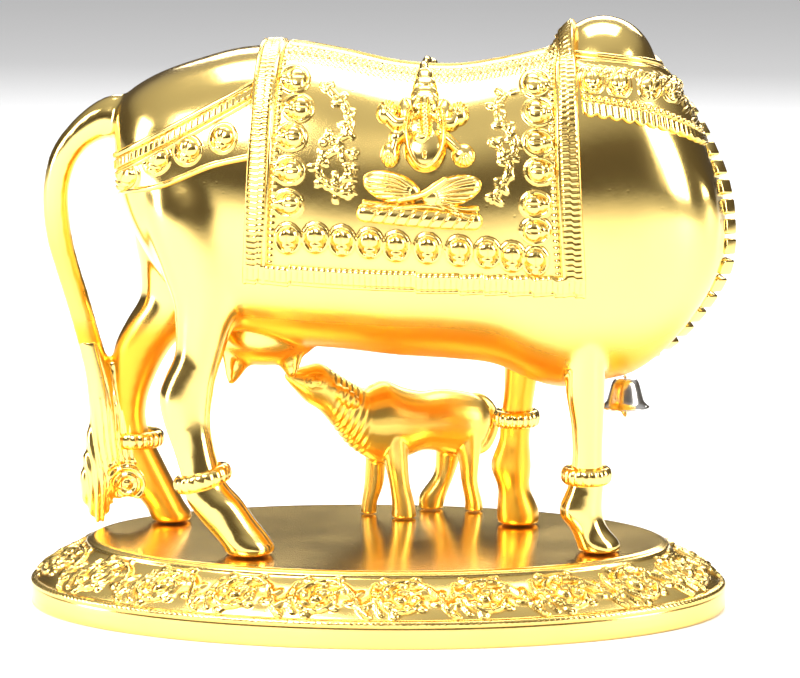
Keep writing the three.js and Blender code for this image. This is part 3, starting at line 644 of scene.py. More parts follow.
CLOTH_LEFT, CLOTH_RIGHT = (-26.4, -29.0), (46.3, 49.3)
CLOTH_FOOT = (80.3, 77.4)
CLOTH_AXIS = 95.0
CLOTH_PROUD = 0.7
RIB = 1.3
LEFT_BEADS = [(-16.4, 127.1), (-15.6, 120.7), (-17.2, 114.3), (-17.6, 106.7), (-18.0, 99.2)]
RIGHT_BEADS = [(37.6, 126.4), (38.2, 120.2), (38.2, 113.3), (38.6, 107.0), (37.6, 99.4), (37.6, 93.4)]
FOOT_BEADS = [(-18.3, 91.6), (-12.0, 91.8), (-6.0, 91.2), (0.3, 90.7), (6.4, 90.0), (13.5, 89.6), (20.6, 89.1),
              (27.0, 88.7), (32.6, 87.9), (37.9, 87.0)]
VINES = [
    [(-10.6, 126.1), (-8.1, 123.6), (-5.8, 121.3), (-4.4, 117.9), (-5.4, 114.7), (-8.1, 113.6), (-9.5, 114.3)],
    [(-3.8, 109.7), (-5.4, 111.1), (-8.8, 110.6), (-11.0, 108.6), (-11.3, 105.6), (-9.0, 104.0), (-5.6, 104.7),
     (-4.0, 106.5), (-5.1, 107.9)],
    [(-9.0, 104.0), (-7.4, 101.7), (-5.4, 102.6), (-3.8, 101.5)],
    [(32.6, 124.1), (30.4, 123.6), (29.0, 121.1), (29.9, 117.9), (32.0, 115.9), (33.1, 113.3), (32.4, 110.4),
     (30.6, 109.2)],
    [(28.3, 113.8), (29.9, 111.5), (31.7, 108.1), (31.0, 105.1), (29.2, 102.4), (28.1, 100.1)],
]


FLANK_END = 0.5


def seen_spots(find, drawn):
    """Where lines of sight through places drawn on the flank meet the near half of the body, and
    which of them do. The others pass over its contour and are given the nearest place that is met."""
    rows, columns = drawn.shape[:2]
    spots = np.zeros((rows, columns, 3))
    missed = []
    for j in range(rows):
        for i in range(columns):
            aim = Vector((drawn[j, i, 0], -29, drawn[j, i, 1])) - Vector(CAMERA_PLACE)
            hit = find(CAMERA_PLACE, aim)
            if hit and hit.y < FLANK_END:
                spots[j, i] = hit[:]
            else:
                missed.append((j, i))
    seen = spots.any(axis=2)
    where = np.argwhere(seen)
    for j, i in missed:
        closest = where[np.argmin((where[:, 0] - j) ** 2 + (where[:, 1] - i) ** 2)]
        spots[j, i] = spots[closest[0], closest[1]]
    return spots, seen


def surface_finder(bm):
    tree = BVHTree.FromBMesh(bm)

    def find(origin, heading):
        hit = tree.ray_cast(Vector(origin), Vector(heading))
        return hit[0]

    return find


def cloth_spots(find, side, columns, rows):
    """Places of one half of the cloth on the body, from the ridge of the back down to its foot."""
    spots = np.zeros((rows, columns, 3))
    for i in range(columns):
        u = i / (columns - 1)
        foot = CLOTH_FOOT[0] + u * (CLOTH_FOOT[1] - CLOTH_FOOT[0])
        line = []
        for k in range(160):
            turn = math.radians(0.9 * k)
            share = min(turn / math.radians(118), 1.0)
            left = CLOTH_LEFT[0] + share * (CLOTH_LEFT[1] - CLOTH_LEFT[0])
            right = CLOTH_RIGHT[0] + share * (CLOTH_RIGHT[1] - CLOTH_RIGHT[0])
            x = left + u * (right - left)
            out = Vector((0, side * math.sin(turn), math.cos(turn)))
            origin = Vector((x, 0, CLOTH_AXIS)) + 90 * out
            spot = find(origin, -out)
            if spot is None or spot.z < foot:
                break
            line.append(spot[:])
        line = np.array(line)
        runs = np.concatenate([[0], np.cumsum(np.linalg.norm(np.diff(line, axis=0), axis=1))])
        even = np.linspace(0, runs[-1], rows)
        for axis in range(3):
            spots[:, i, axis] = np.interp(even, runs, line[:, axis])
    return spots


def cloth_relief(spots, side):
    """Height of the carving over one half of the cloth, in millimetres above the cloth's ground."""
    rows, columns = spots.shape[:2]
    mirrored = spots * np.array([1, -side, 1])
    x, z = seen_on_flank(mirrored)
    runs_down = np.concatenate([np.zeros((1, columns)),
                                np.cumsum(np.linalg.norm(np.diff(spots, axis=0), axis=2), axis=0)])
    from_foot = runs_down[-1] - runs_down
    runs_over = np.concatenate([np.zeros((rows, 1)),
                                np.cumsum(np.linalg.norm(np.diff(spots, axis=1), axis=2), axis=1)], axis=1)
    from_left = runs_over
    from_right = runs_over[:, -1:] - runs_over
    relief = Relief(x, z)
    field = (from_left > 6) & (from_right > 6) & (from_foot > 5)

    # leafy hatching under the ridge and the figure's ground
    hatch = np.sin(5.2 * runs_over + 2.2 * np.sin(1.3 * runs_down)) * np.sin(3.4 * runs_down + 1.1 * runs_over)
    top_strip = eased((runs_down - 4) / 1.5) * eased((15 - runs_down) / 2.5)
    relief.lay(np.where(field, 0.34 * np.clip(hatch + 0.25, 0, None) * top_strip, 0))
    relief.lay(0.5 * round_top(np.abs(runs_down - 3.2), 0.6) * field)

    for vine in VINES:
        relief.add_line(vine, 0.42, 0.55)
        relief.add_line([(a + 0.9, b + 0.1) for a, b in vine], 0.25, 0.4)
        curve = through(vine, np.linspace(0.05, 0.95, 2 * len(vine)))
        for k, (a, b) in enumerate(curve):
            relief.leaf((a, b), 2.2 * k + 0.4, 2.5, 1.3, 0.55)
    for at in LEFT_BEADS:
        relief.pot_bead(at, math.pi, 0.95)
    for at in RIGHT_BEADS:
        relief.pot_bead(at, 0.0, 0.95)
    for at in FOOT_BEADS:
        relief.pot_bead(at, -math.pi / 2, 0.93)
    relief.height *= field

    # pearls inside the side bands
    pearl = np.abs(np.mod(from_foot, 1.5) - 0.75)
    for gap in (from_left, from_right):
        relief.lay(0.45 * round_top(np.hypot(gap - 6.3, pearl), 0.62) * (from_foot > 5))

    # ribbed bands with plain edges at left, right and foot
    ribs = 0.16 + 0.34 * np.abs(np.sin(np.pi * from_foot / RIB)) ** 0.7
    for gap in (from_left, from_right):
        band = eased((gap - 0.7) / 0.25) * eased((4.6 - gap) / 0.25)
        relief.lay(np.where(from_foot > 3.6, (0.45 + ribs) * band, 0))
        relief.lay(np.where(gap < 0.8, 0.95 * round_top(gap - 0.4, 0.45), 0))
        relief.lay(0.85 * round_top(np.abs(gap - 5.0), 0.42))
    ribs = 0.16 + 0.34 * np.abs(np.sin(np.pi * from_left / RIB)) ** 0.7
    scallop = 4.4 + 0.25 * np.abs(np.sin(np.pi * from_left / RIB))
    band = eased((from_foot - 0.9) / 0.25) * eased((scallop - from_foot) / 0.25)
    relief.lay((0.45 + ribs) * band)
    relief.lay(np.where(from_foot < 1.0, 0.8 * round_top(from_foot - 0.5, 0.55), 0))
    return relief.height


def saddle_cloth(find, side, material, name, columns, rows):
    spots = smoothed(cloth_spots(find, side, columns, rows), 8)
    outward = grid_normals(spots) * (1 if side > 0 else -1)
    middle = outward[rows // 2, columns // 2]
    if middle[1] * side < 0:
        outward = -outward
    height = cloth_relief(spots, side)
    return relief_sheet(name, spots, outward, CLOTH_PROUD + height, material, skirt=1.4)


# Seated figure

FIGURE_MIDDLE = (12.4, 112.0)
FIGURE_REACH = (15.5, 19.5)


def figure_relief(x, z):
    """The seated elephant-headed figure, drawn about (12.4, 112): heights above the cloth's ground."""
    relief = Relief(x, z)
    add, line, cut = relief.add_dome, relief.add_line, relief.cut_line

    # flat seat, with slanting pleats
    line([(-0.6, 97.2), (8, 96.4), (16, 95.8), (23.8, 95.6)], 2.2, 1.7)
    for k in range(9):
        at = 1.5 + 2.6 * k
        cut([(at + 1.4, 98.6 - 0.08 * at), (at, 96.6 - 0.08 * at), (at - 0.8, 95.0 - 0.08 * at)], 0.28, 0.35)
    line([(-0.8, 99.6), (7, 98.6), (13, 98.9), (19, 98.4), (24.6, 98.4)], 0.7, 1.5)

    # folded legs with pleats fanning from the lap
    add((5.4, 103.0), (6.9, 3.5), 2.4, -0.28, 2.6)
    add((19.0, 102.2), (7.0, 3.4), 2.4, 0.30, 2.6)
    for k in range(8):
        turn = math.pi - 0.62 + 0.17 * k
        start = (11.6, 101.6)
        cut([(start[0] + 2.2 * math.cos(turn), start[1] + 2.2 * math.sin(turn)),
             (start[0] + 6.6 * math.cos(turn), start[1] + 5.6 * math.sin(turn)),
             (start[0] + 12.5 * math.cos(turn), start[1] + 7.0 * math.sin(turn))], 0.26, 0.4)
    for k in range(8):
        turn = 0.62 - 0.17 * k
        start = (13.4, 100.6)
        cut([(start[0] + 2.4 * math.cos(turn), start[1] + 2.4 * math.sin(turn)),
             (start[0] + 7 * math.cos(turn), start[1] + 6.2 * math.sin(turn)),
             (start[0] + 12 * math.cos(turn), start[1] + 8.6 * math.sin(turn))], 0.26, 0.4)
    line([(7.2, 100.2), (12.5, 101.4), (17.6, 104.6)], 0.9, 2.5)

    # round belly and chest, with the long garland hanging over them
    add((12.9, 111.4), (4.8, 5.0), 3.0, 0, 2.6)
    add((12.8, 116.4), (4.4, 4.4), 2.3)
    line([(9.4, 119.6), (8.7, 115.8), (9.2, 111.4), (11.0, 108.2), (13.1, 107.2), (15.2, 108.4),
          (16.8, 111.4), (17.2, 115.8), (16.6, 119.4)], 0.62, 3.1)
    cut([(12.9, 110.2), (12.9, 109.4)], 0.35, 0.6, 1)

    # upper and lower arms, hands raised and a bowl of sweets on the right
    line([(9.4, 117.4), (6.6, 117.0), (4.6, 118.6)], 1.3, 2.0)
    add((4.2, 119.8), (2.5, 2.3), 2.2, 0.5)
    line([(9.2, 115.6), (6.4, 113.4), (5.6, 111.0)], 1.3, 2.1)
    add((5.0, 110.2), (2.2, 2.7), 2.3)
    add((6.2, 113.9), (1.6, 1.9), 2.4)
    line([(16.4, 117.4), (18.8, 117.0), (20.2, 118.8)], 1.3, 2.0)
    add((20.6, 119.4), (2.3, 2.5), 2.2, -0.4)
    line([(16.6, 114.8), (19.2, 112.6), (20.8, 111.2)], 1.3, 2.1)
    add((21.6, 110.2), (2.7, 2.6), 2.2)
    for k in range(5):
        fan = 0.5 + 0.42 * k
        cut([(4.2 + 0.4 * math.cos(fan), 119.0 + 0.4 * math.sin(fan)),
             (4.2 + 2.4 * math.cos(fan), 119.0 + 2.6 * math.sin(fan))], 0.2, 0.5, 1)
        cut([(20.6 + 0.4 * math.cos(fan), 118.6 + 0.4 * math.sin(fan)),
             (20.6 + 2.4 * math.cos(fan), 118.6 + 2.8 * math.sin(fan))], 0.2, 0.5, 1)
        cut([(21.6 + 0.5 * math.cos(-fan), 110.4 + 0.5 * math.sin(-fan)),
             (21.6 + 2.5 * math.cos(-fan), 110.4 + 2.5 * math.sin(-fan))], 0.2, 0.4, 1)
        cut([(5.0 - 0.5 * math.cos(-fan), 110.4 + 0.5 * math.sin(-fan)),
             (5.0 - 2.4 * math.cos(-fan), 110.4 + 2.5 * math.sin(-fan))], 0.2, 0.4, 1)

    # head: wide ears, brow, eyes, tusks and a ringed trunk hanging over the belly
    add((8.9, 119.9), (2.2, 3.0), 1.9, 0.2)
    add((16.8, 119.7), (2.2, 3.0), 1.9, -0.2)
    add((12.8, 120.9), (3.7, 3.3), 3.0, 0, 2.4)
    add((12.8, 123.2), (3.3, 1.6), 2.9)
    trunk = [(12.8, 120.6), (12.9, 118.4), (13.1, 116.2), (13.2, 114.2), (12.4, 112.9), (11.4, 113.2)]
    line(trunk, 1.45, 3.9)
    for k in range(9):
        at = 119.6 - 0.75 * k
        cut([(11.4, at + 0.15), (12.9, at - 0.2), (14.4, at + 0.15)], 0.17, 0.3)
    for way in (-1, 1):
        add((12.8 + 1.9 * way, 120.4), (0.75, 0.5), 3.3, 0.2 * way)
        line([(12.8 + 1.3 * way, 118.0), (12.8 + 2.6 * way, 117.2)], 0.4, 3.2)
        cut([(12.8 + 2.7 * way, 121.3), (12.8 + 1.9 * way, 121.6), (12.8 + 1.1 * way, 121.2)], 0.16, 0.35)
        cut([(12.8 + 4.4 * way, 121.6), (12.8 + 3.6 * way, 119.6), (12.8 + 4.2 * way, 117.8)], 0.2, 0.4)

    # tall crown in three tiers
    add((12.8, 125.0), (2.8, 1.5), 2.7, 0, 3)
    add((12.7, 126.8), (2.1, 1.5), 2.6, 0, 3)
    add((12.5, 128.6), (1.3, 1.4), 2.2)
    cut([(10.2, 124.2), (12.8, 123.8), (15.4, 124.2)], 0.22, 0.5)
    cut([(10.8, 125.9), (12.7, 125.6), (14.8, 125.9)], 0.2, 0.45)
    cut([(11.4, 127.8), (12.6, 127.6), (13.9, 127.8)], 0.18, 0.4)
    return relief.height


def seated_figure(find, side, material, name, columns, rows):
    """A fine relief of its own, sunk a little into the cloth all round its outline."""
    x = FIGURE_MIDDLE[0] + FIGURE_REACH[0] * np.linspace(-1, 1, columns)
    z = FIGURE_MIDDLE[1] + FIGURE_REACH[1] * np.linspace(-1, 1, rows)
    drawn = np.stack(np.meshgrid(x, z), axis=2)
    spots, seen = seen_spots(find, drawn)
    spots = smoothed(spots, 30)
    height = figure_relief(drawn[..., 0], drawn[..., 1])
    outward = grid_normals(spots)
    if outward[rows // 2, columns // 2, 1] > 0:
        outward = -outward
    if side > 0:
        spots[..., 1] *= -1
        outward[..., 1] *= -1
    lifted = np.where(seen & (height > 0.02), CLOTH_PROUD + 0.2 + height, CLOTH_PROUD - 0.7)
    return relief_sheet(name, spots, outward, lifted, material, skirt=0.4, cut=CLOTH_PROUD - 0.6)


# Straps on haunch and hump

SUNK = -0.6


def strap_spots(find, side, upper, lower, columns, rows):
    """Places on the body between two lines drawn on the flank, from the upper line to the lower."""
    top = through(upper, np.linspace(0, 1, columns))
    foot = through(lower, np.linspace(0, 1, columns))
    share = np.linspace(0, 1, rows)[:, None, None]
    drawn = top[None] * (1 - share) + foot[None] * share
    spots, seen = seen_spots(find, drawn)
    if side > 0:
        spots[..., 1] *= -1
    return spots, drawn, seen


def run_lengths(spots, axis):
    steps = np.linalg.norm(np.diff(spots, axis=axis), axis=2)
    start = np.zeros_like(np.take(steps, [0], axis=axis))
    return np.concatenate([start, np.cumsum(steps, axis=axis)], axis=axis)


HAUNCH_UPPER = [(-26.0, 127.0), (-36.0, 121.8), (-47.0, 116.0), (-57.4, 110.8)]
HAUNCH_LOWER = [(-26.6, 109.2), (-36.0, 107.0), (-47.5, 102.4), (-57.0, 101.0)]
HAUNCH_BEADS = [(-32.9, 114.3), (-40.9, 111.5), (-48.0, 109.3), (-55.0, 105.4)]


def haunch_strap(find, side, material, name):
    spots, drawn, seen = strap_spots(find, side, HAUNCH_UPPER, HAUNCH_LOWER, 170, 84)
    spots = smoothed(spots, 10)
    outward = grid_normals(spots)
    if outward[42, 85, 1] * side < 0:
        outward = -outward
    along, down = run_lengths(spots, 1), run_lengths(spots, 0)
    relief = Relief(drawn[..., 0], drawn[..., 1])
    for at in HAUNCH_BEADS:
        relief.pot_bead(at, -2.0, 0.95)
    width = down[-1:]
    from_foot = width - down
    relief.height *= (down > 5.6) & (from_foot > 0.6)
    ribs = 0.2 + 0.35 * np.abs(np.sin(np.pi * along / 1.5)) ** 0.7
    relief.lay((0.25 + ribs) * eased((down - 1.9) / 0.25) * eased((4.3 - down) / 0.25))
    relief.lay(0.8 * round_top(np.abs(down - 0.9), 0.8))
    relief.lay(0.6 * round_top(np.abs(down - 5.1), 0.5))
    relief.lay(0.55 * round_top(np.abs(from_foot - 0.6), 0.5))
    height = np.where(seen, 0.35 + relief.height, SUNK)
    return relief_sheet(name, spots, outward, height, material, skirt=1.0, cut=SUNK + 0.1)


NECK_UPPER = [(46.5, 134.4), (55.0, 133.6), (64.9, 132.1), (70.6, 127.6), (76.5, 120.5)]
NECK_LOWER = [(48.8, 119.2), (56.0, 118.2), (62.0, 117.0), (70.0, 115.2), (77.6, 112.4)]
NECK_BEADS = [(50.6, 127.4), (56.6, 126.8), (63.4, 126.2), (68.8, 126.0)]


def hump_strap(find, side, material, name):
    spots, drawn, seen = strap_spots(find, side, NECK_UPPER, NECK_LOWER, 190, 110)
    spots = smoothed(spots, 10)
    outward = grid_normals(spots)
    if outward[55, 40, 1] * side < 0:
        outward = -outward
    along, down = run_lengths(spots, 1), run_lengths(spots, 0)
    share = np.linspace(0, 1, 110)[:, None] * np.ones((1, 190))
    relief = Relief(drawn[..., 0], drawn[..., 1])
    for at in NECK_BEADS:
        relief.pot_bead(at, -math.pi / 2, 0.8)
    for k in range(14):
        at = through(NECK_UPPER, np.array([k / 13]))[0]
        for way in (-1, 0, 1):
            relief.leaf((at[0] + 0.3 * way, at[1] - 3.0), -math.pi / 2 + 0.75 * way, 2.6, 1.1, 0.5)
    relief.height *= (share > 0.12) & (share < 0.62)
    relief.lay(0.6 * round_top(np.abs(share - 0.03) * 16, 0.55))
    relief.lay(0.45 * round_top(np.abs(share - 0.10) * 16, 0.4))
    pearl = np.abs(np.mod(along, 1.7) - 0.85)
    relief.lay(0.7 * round_top(np.hypot((share - 0.70) * 16, pearl), 0.75))
    ribs = np.abs(np.sin(np.pi * along / 1.5)) ** 0.6
    scallop = 0.93 + 0.05 * np.abs(np.sin(np.pi * along / 3.0))
    fringe = eased((share - 0.76) / 0.02) * eased((scallop - share) / 0.02)
    relief.lay((0.35 + 0.3 * ribs) * fringe)
    height = np.where(seen & (share <= scallop), 0.35 + relief.height, SUNK)
    return relief_sheet(name, spots, outward, height, material, skirt=1.0, cut=SUNK + 0.1)


# Anklets, tuft and garland

ANKLETS = [
    ("anklet_hind_near", (-39.2, -21.2, 33.8), (6.3, 6.2), 0.3),
    ("anklet_hind_far", (-58.9, 13.9, 36.6), (6.0, 5.9), 0.0),
    ("anklet_fore_near", (49.7, -14.1, 34.2), (5.2, 5.3), 0.0),
    ("anklet_fore_far", (32.3, 15.7, 42.2), (5.0, 5.2), 0.0),
]


def anklet(name, at, half, lean, material):
    """A rounded ring with upright grooves all round it."""

    def place(u, v):
        turn, tilt = 2 * np.pi * u, 2 * np.pi * v
        groove = 0.28 * np.abs(np.sin(9 * turn)) ** 0.7 * np.clip(np.cos(tilt) + 0.3, 0, None)
        thick = 1.35 - 0.35 + groove
        out = 0.9 + thick * np.cos(tilt) / max(half)
        x = half[0] * out * np.cos(turn)
        y = half[1] * out * np.sin(turn)
        z = 2.05 * np.sign(np.sin(tilt)) * np.abs(np.sin(tilt)) ** 0.8
        c, s = math.cos(lean), math.sin(lean)
        return np.stack([at[0] + x * c - z * s, at[1] + y, at[2] + x * s + z * c], axis=1)

    return stored(name, closed_tube(144, 20, place), material)


def tail_tuft(material):
    bm = cast_together([limb(TUFT, along=DOWN), limb(TUFT_WEB, along=DOWN)], 0.42, 6)
    bm.normal_update()
    swirl = (-60.6, 30.0)
    for corner in bm.verts:
        x, y, z = corner.co
        low = eased_number((52 - z) / 14)
        strands = math.sin(4.2 * (x + 0.12 * (z - 30)) + 0.8 * math.sin(0.35 * z + 0.2 * y) + 1.7 * y)
        curl = math.hypot(x - swirl[0], z - swirl[1] + 4)
        inside = eased_number((x + 65.5) / 1.5) * eased_number((33 - z) / 3)
        locks = (1 - inside) * strands + inside * math.sin(3.4 * curl)
        corner.co += corner.normal * (0.26 * low * locks)
    return stored("tail_tuft", bm, material)


GARLAND_MIDDLE = np.array([61.5, 12.5, 91.0])
GARLAND_TURN = math.radians(-34.5)
GARLAND_LEAN = 0.137
GARLAND_BLOCKS = 34


def garland(find, material):
    """Bevelled blocks laid round the neck, end to end."""
    forward = np.array([math.cos(GARLAND_TURN), math.sin(GARLAND_TURN), 0])
    upward = unit(np.array([0, GARLAND_LEAN, 1]))
    spots, outs = [], []
    for k in range(GARLAND_BLOCKS):
        turn = 2 * math.pi * k / GARLAND_BLOCKS
        out = forward * math.cos(turn) + upward * math.sin(turn)
        hit = find(GARLAND_MIDDLE, out)
        spots.append(np.array(hit[:]))
        outs.append(out)
    parts = []
    for k, (spot, out) in enumerate(zip(spots, outs)):
        heading = unit(spots[(k + 1) % GARLAND_BLOCKS] - spots[k - 1])
        across = unit(np.cross(out, heading))
        out = np.cross(heading, across)
        bm = bmesh.new()
        bmesh.ops.create_cube(bm, size=1)
        bmesh.ops.scale(bm, vec=(3.6, 4.4, 3.0), verts=bm.verts)
        bmesh.ops.bevel(bm, geom=bm.edges[:], offset=0.55, segments=3, profile=0.5, affect="EDGES", material=-1)
        frame_of_block = Matrix((heading, across, out)).transposed()
        bmesh.ops.rotate(bm, cent=(0, 0, 0), matrix=frame_of_block, verts=bm.verts)
        bmesh.ops.translate(bm, vec=spot + 0.1 * out, verts=bm.verts)
        parts.append(bm)
    bm = merged(parts)
    bmesh.ops.recalc_face_normals(bm, faces=bm.faces)
    return stored("neck_garland", bm, material)


# Calf

CALF_AT = (8, 28, 0)
CALF_TURN = math.radians(25)
CALF_BODY = [
    (-34.3, 0, 52.1, 0.5, 0.5), (-33, 0, 51.5, 1.6, 1.5), (-31.4, 0, 50.9, 2.8, 2.5), (-28.8, 0, 49.9, 4.5, 3.7),
    (-25.3, 0, 48.9, 5.9, 4.3), (-22, 0, 45.9, 6.8, 4.4), (-18.3, 0, 42.3, 7.9, 4.7), (-14.2, 0, 39.6, 8.4, 5.3),
    (-11.4, 0, 39.2, 9.6, 5.8), (-8.5, 0, 39.3, 10.2, 6.2), (-4, 0, 38.8, 8.7, 6.3), (1.1, 0, 38.9, 7.3, 6.2),
    (6.3, 0, 38.6, 7.8, 6.2), (11.9, 0, 37.6, 7.9, 6), (15.6, 0, 37.8, 6.4, 5), (18, 0, 38.4, 3.4, 3),
]
CALF_LEGS = [
    [(-7.4, -2.6, 37, 3.4, 3.4), (-7, -3.6, 30, 2.9, 2.9), (-6.3, -4, 24.5, 2.5, 2.5), (-5.4, -4.1, 19.6, 2.8, 2.7),
     (-5.2, -4.1, 16.3, 3.1, 3)],
    [(-9.4, 2.6, 37, 3.2, 3.2), (-9.6, 3.4, 30, 2.6, 2.7), (-10, 3.6, 23.6, 2.4, 2.4), (-11.2, 3.6, 19, 1.9, 2.1),
     (-11.4, 3.6, 16.3, 2, 2.2)],
    [(10, 2.4, 36, 4.2, 3.2), (9.4, 3.2, 29.5, 3.2, 2.8), (8.3, 3.6, 24.4, 2.6, 2.6), (5.6, 3.8, 19.6, 3.4, 2.8),
     (5, 3.8, 16.3, 3, 2.8)],
    [(12, -2.6, 36, 4, 3.2), (12.2, -3.1, 29.4, 2.6, 2.7), (12.4, -3, 23.6, 2, 2.3), (13.6, -2.6, 18.6, 2.1, 2.4),
     (13.8, -2.4, 16.3, 2.3, 2.5)],
]
CALF_TAIL = [
    (11.6, 0, 43.6, 1.4, 1.6), (15.9, -0.2, 43.6, 1.25, 1.3), (18.8, -0.4, 41.4, 1.2, 1.2), (20, -0.6, 38, 1.2, 1.2),
    (19.1, -0.8, 34.6, 1.4, 1.2), (17, -1, 31.8, 1.6, 1.3), (14.4, -1.2, 30.4, 1, 1.2),
]
CALF_EAR = [(-23, 3.6, 49.4, 0.8, 0.8), (-21, 4.9, 47.6, 1.8, 1), (-18.8, 5.3, 45.8, 1.7, 0.9), (-17, 5.2, 44.6, 0.5, 0.5)]


def put_calf(bm):
    bmesh.ops.rotate(bm, cent=(0, 0, 0), matrix=Matrix.Rotation(CALF_TURN, 3, "Z"), verts=bm.verts)
    bmesh.ops.translate(bm, vec=CALF_AT, verts=bm.verts)
    return bm


def calf_body(material):
    parts = [limb(CALF_BODY, along=np.array([1.0, 0, 0])), limb(CALF_TAIL, around=16)]
    parts += [limb(leg, along=DOWN, around=20) for leg in CALF_LEGS]
    for side in (1, -1):
        ear = limb(CALF_EAR, around=16)
        bmesh.ops.scale(ear, vec=(1, side, 1), verts=ear.verts)
        bmesh.ops.recalc_face_normals(ear, faces=ear.faces)
        parts.append(ear)
    bm = cast_together(parts, 0.36, 5)
    bm.normal_update()
    for corner in bm.verts:
        x, y, z = corner.co
        neck = eased_number((x + 24) / 3) * eased_number((-13.5 - x) / 3)
        corner.co += corner.normal * (0.16 * neck * math.sin(3.4 * (x - 0.45 * z)))
        eye = math.hypot((x + 27.6) / 2.0, (z - 51.0) / 1.35)
        if abs(y) > 1.5 and eye < 1.6:
            ball_part = 0.55 * max(0.0, 1 - (eye / 0.62) ** 2) ** 0.5 if eye < 0.62 else 0.0
            lid = 0.32 * math.exp(-((eye - 0.85) / 0.14) ** 2) + 0.22 * math.exp(-((eye - 1.25) / 0.12) ** 2)
            corner.co += corner.normal * (ball_part + lid)
    return stored("calf_body", put_calf(bm), material)


# Plinth

PLINTH_HALF, PLINTH_HALF_DEEP = 82.5, 49.0
DECK_HALF, DECK_HALF_DEEP = 67.3, 38.2
PLINTH_LINE = [
    (82.5, 4.6), (82.3, 5.2), (81.7, 5.9), (80.6, 7.2), (78.9, 8.8), (76.6, 10.2), (73.6, 11.6), (70.9, 13.2),
    (69.2, 14.6), (68.3, 15.6), (67.3, 16.0),
]
SCROLLS = 20


def half_depth(reach):
    edge = DECK_HALF
    outer = DECK_HALF_DEEP + (reach - edge) / (PLINTH_HALF - edge) * (PLINTH_HALF_DEEP - DECK_HALF_DEEP)
    return np.where(reach < edge, reach / edge * DECK_HALF_DEEP, outer)


def scroll_relief(u, w):
    """One leaf scroll, u along the band in units of a scroll and w from 0 at its foot to 1 at its head."""
    x, z = u * 20.0, w * 13.0
    relief = Relief(x, z)
    stem = [(-1.0, 0.6), (1.0, 3.0), (2.2, 6.4), (4.6, 10.2), (9.0, 12.1), (13.6, 11.2), (16.2, 8.0), (15.8, 4.4),
            (12.6, 2.2), (8.8, 2.8), (7.0, 5.6), (8.2, 8.2), (10.8, 8.8), (12.4, 7.2), (11.8, 5.6)]
    for shift in (-20, 0, 20):
        path = [(a + shift, b) for a, b in stem]
        relief.add_line(path, 0.62, 0.95)
        relief.add_dome((11.4 + shift, 6.2), (1.5, 1.4), 1.1)
        curve = through(path, np.linspace(0.04, 0.86, 17))
        ahead = through(path, np.linspace(0.04, 0.86, 17) + 0.01)
        for k, (spot, then) in enumerate(zip(curve, ahead)):
            turn = math.atan2(then[1] - spot[1], then[0] - spot[0])
            side = -1 if k % 2 else 1
            relief.leaf(spot, turn + side * 0.95, 3.6 - 0.06 * k, 1.7, 0.75)
            relief.leaf(spot, turn + side * 0.45, 2.6, 1.1, 0.6)
        relief.add_line([(16.0 + shift, 1.2), (17.4 + shift, 4.0), (18.2 + shift, 8.0), (17.4 + shift, 11.4)], 0.4, 0.7)
        relief.leaf((18.0 + shift, 6.6), 1.9, 3.6, 1.6, 0.7)
        relief.leaf((17.6 + shift, 3.4), 0.7, 3.0, 1.4, 0.7)
    return relief.height


def plinth_body(material):
    columns, rows = 1100, 62
    turn = np.linspace(0, 2 * np.pi, columns + 1)
    share = np.linspace(0, 1, rows)
    line = through(PLINTH_LINE, share)
    reach, level = line[:, 0][:, None], line[:, 1][:, None]
    spots = np.stack([reach * np.cos(turn), half_depth(reach) * np.sin(turn), level + 0 * turn], axis=2)
    outward = grid_normals(spots)
    if outward[rows // 2, 0, 0] < 0:
        outward = -outward
    outward[:, 0] = outward[:, -1] = unit(outward[:, 1] + outward[:, -2])
    lengths = run_lengths(spots[rows // 2:rows // 2 + 1], 1)[0]
    along = lengths / lengths[-1] * SCROLLS
    up = run_lengths(spots[:, :1], 0)[:, 0]
    w = (up - 2.6) / (up[-1] - 5.4)
    u_grid, w_grid = np.meshgrid(np.mod(-along, 1.0), w)
    height = scroll_relief(u_grid, w_grid) * ((w_grid > 0.0) & (w_grid < 1.02))
    rope = np.abs(np.mod(along[None, :] * 20 + 1.1 * (up[:, None] - 1.4), 1.25) - 0.62)
    bead = round_top((up[:, None] - 1.45) / 1.0, 0.85)
    height = np.maximum(height, (0.45 + 0.3 * round_top(rope, 0.6)) * bead)
    height = np.maximum(height, 0.3 * round_top(np.abs(up[:, None] - up[-1] + 1.9), 0.5))
    # Painted shade mask: how far each place of the scroll band lies in a recess, darkened to deep orange by the gilt.
    marks = hollowed(height)
    placed = spots + outward * height[..., None]
    rim = [(-0.0, 0.0), (81.9, 0.0), (82.5, 0.6), (82.5, 2.0), (82.5, 3.4)]

    def place(u, v):
        i = np.round(u * columns).astype(int)
        j = np.round(v * (rows + 9)).astype(int)
        out = np.zeros((len(u), 3))
        for level_index in range(rows + 10):
            chosen = j == level_index
            angle = turn[i[chosen]]
            if level_index < 5:
                radius, height_here = rim[level_index]
                out[chosen] = np.stack([radius * np.cos(angle), half_depth(np.array(radius)) * np.sin(angle),
                                        height_here + 0 * angle], axis=1)
            elif level_index < rows + 5:
                out[chosen] = placed[level_index - 5, i[chosen]]
            else:
                radius = (66.9, 60.0, 40.0, 20.0, 0.0)[level_index - rows - 5]
                out[chosen] = np.stack([radius * np.cos(angle), half_depth(np.array(radius)) * np.sin(angle),
                                        16.0 + 0 * angle], axis=1)
        return out

    bm = shaped_grid(columns, rows + 9, place)
    mark = bm.verts.layers.float.new("hollow_painted_shade")
    grid = np.zeros((rows + 10, columns + 1))
    grid[5:rows + 5] = marks
    for corner, value in zip(bm.verts, grid.reshape(-1)):
        corner[mark] = value
    bmesh.ops.remove_doubles(bm, verts=bm.verts, dist=1e-3)
    bmesh.ops.recalc_face_normals(bm, faces=bm.faces)
    return stored("plinth_body", bm, material)


# Bell

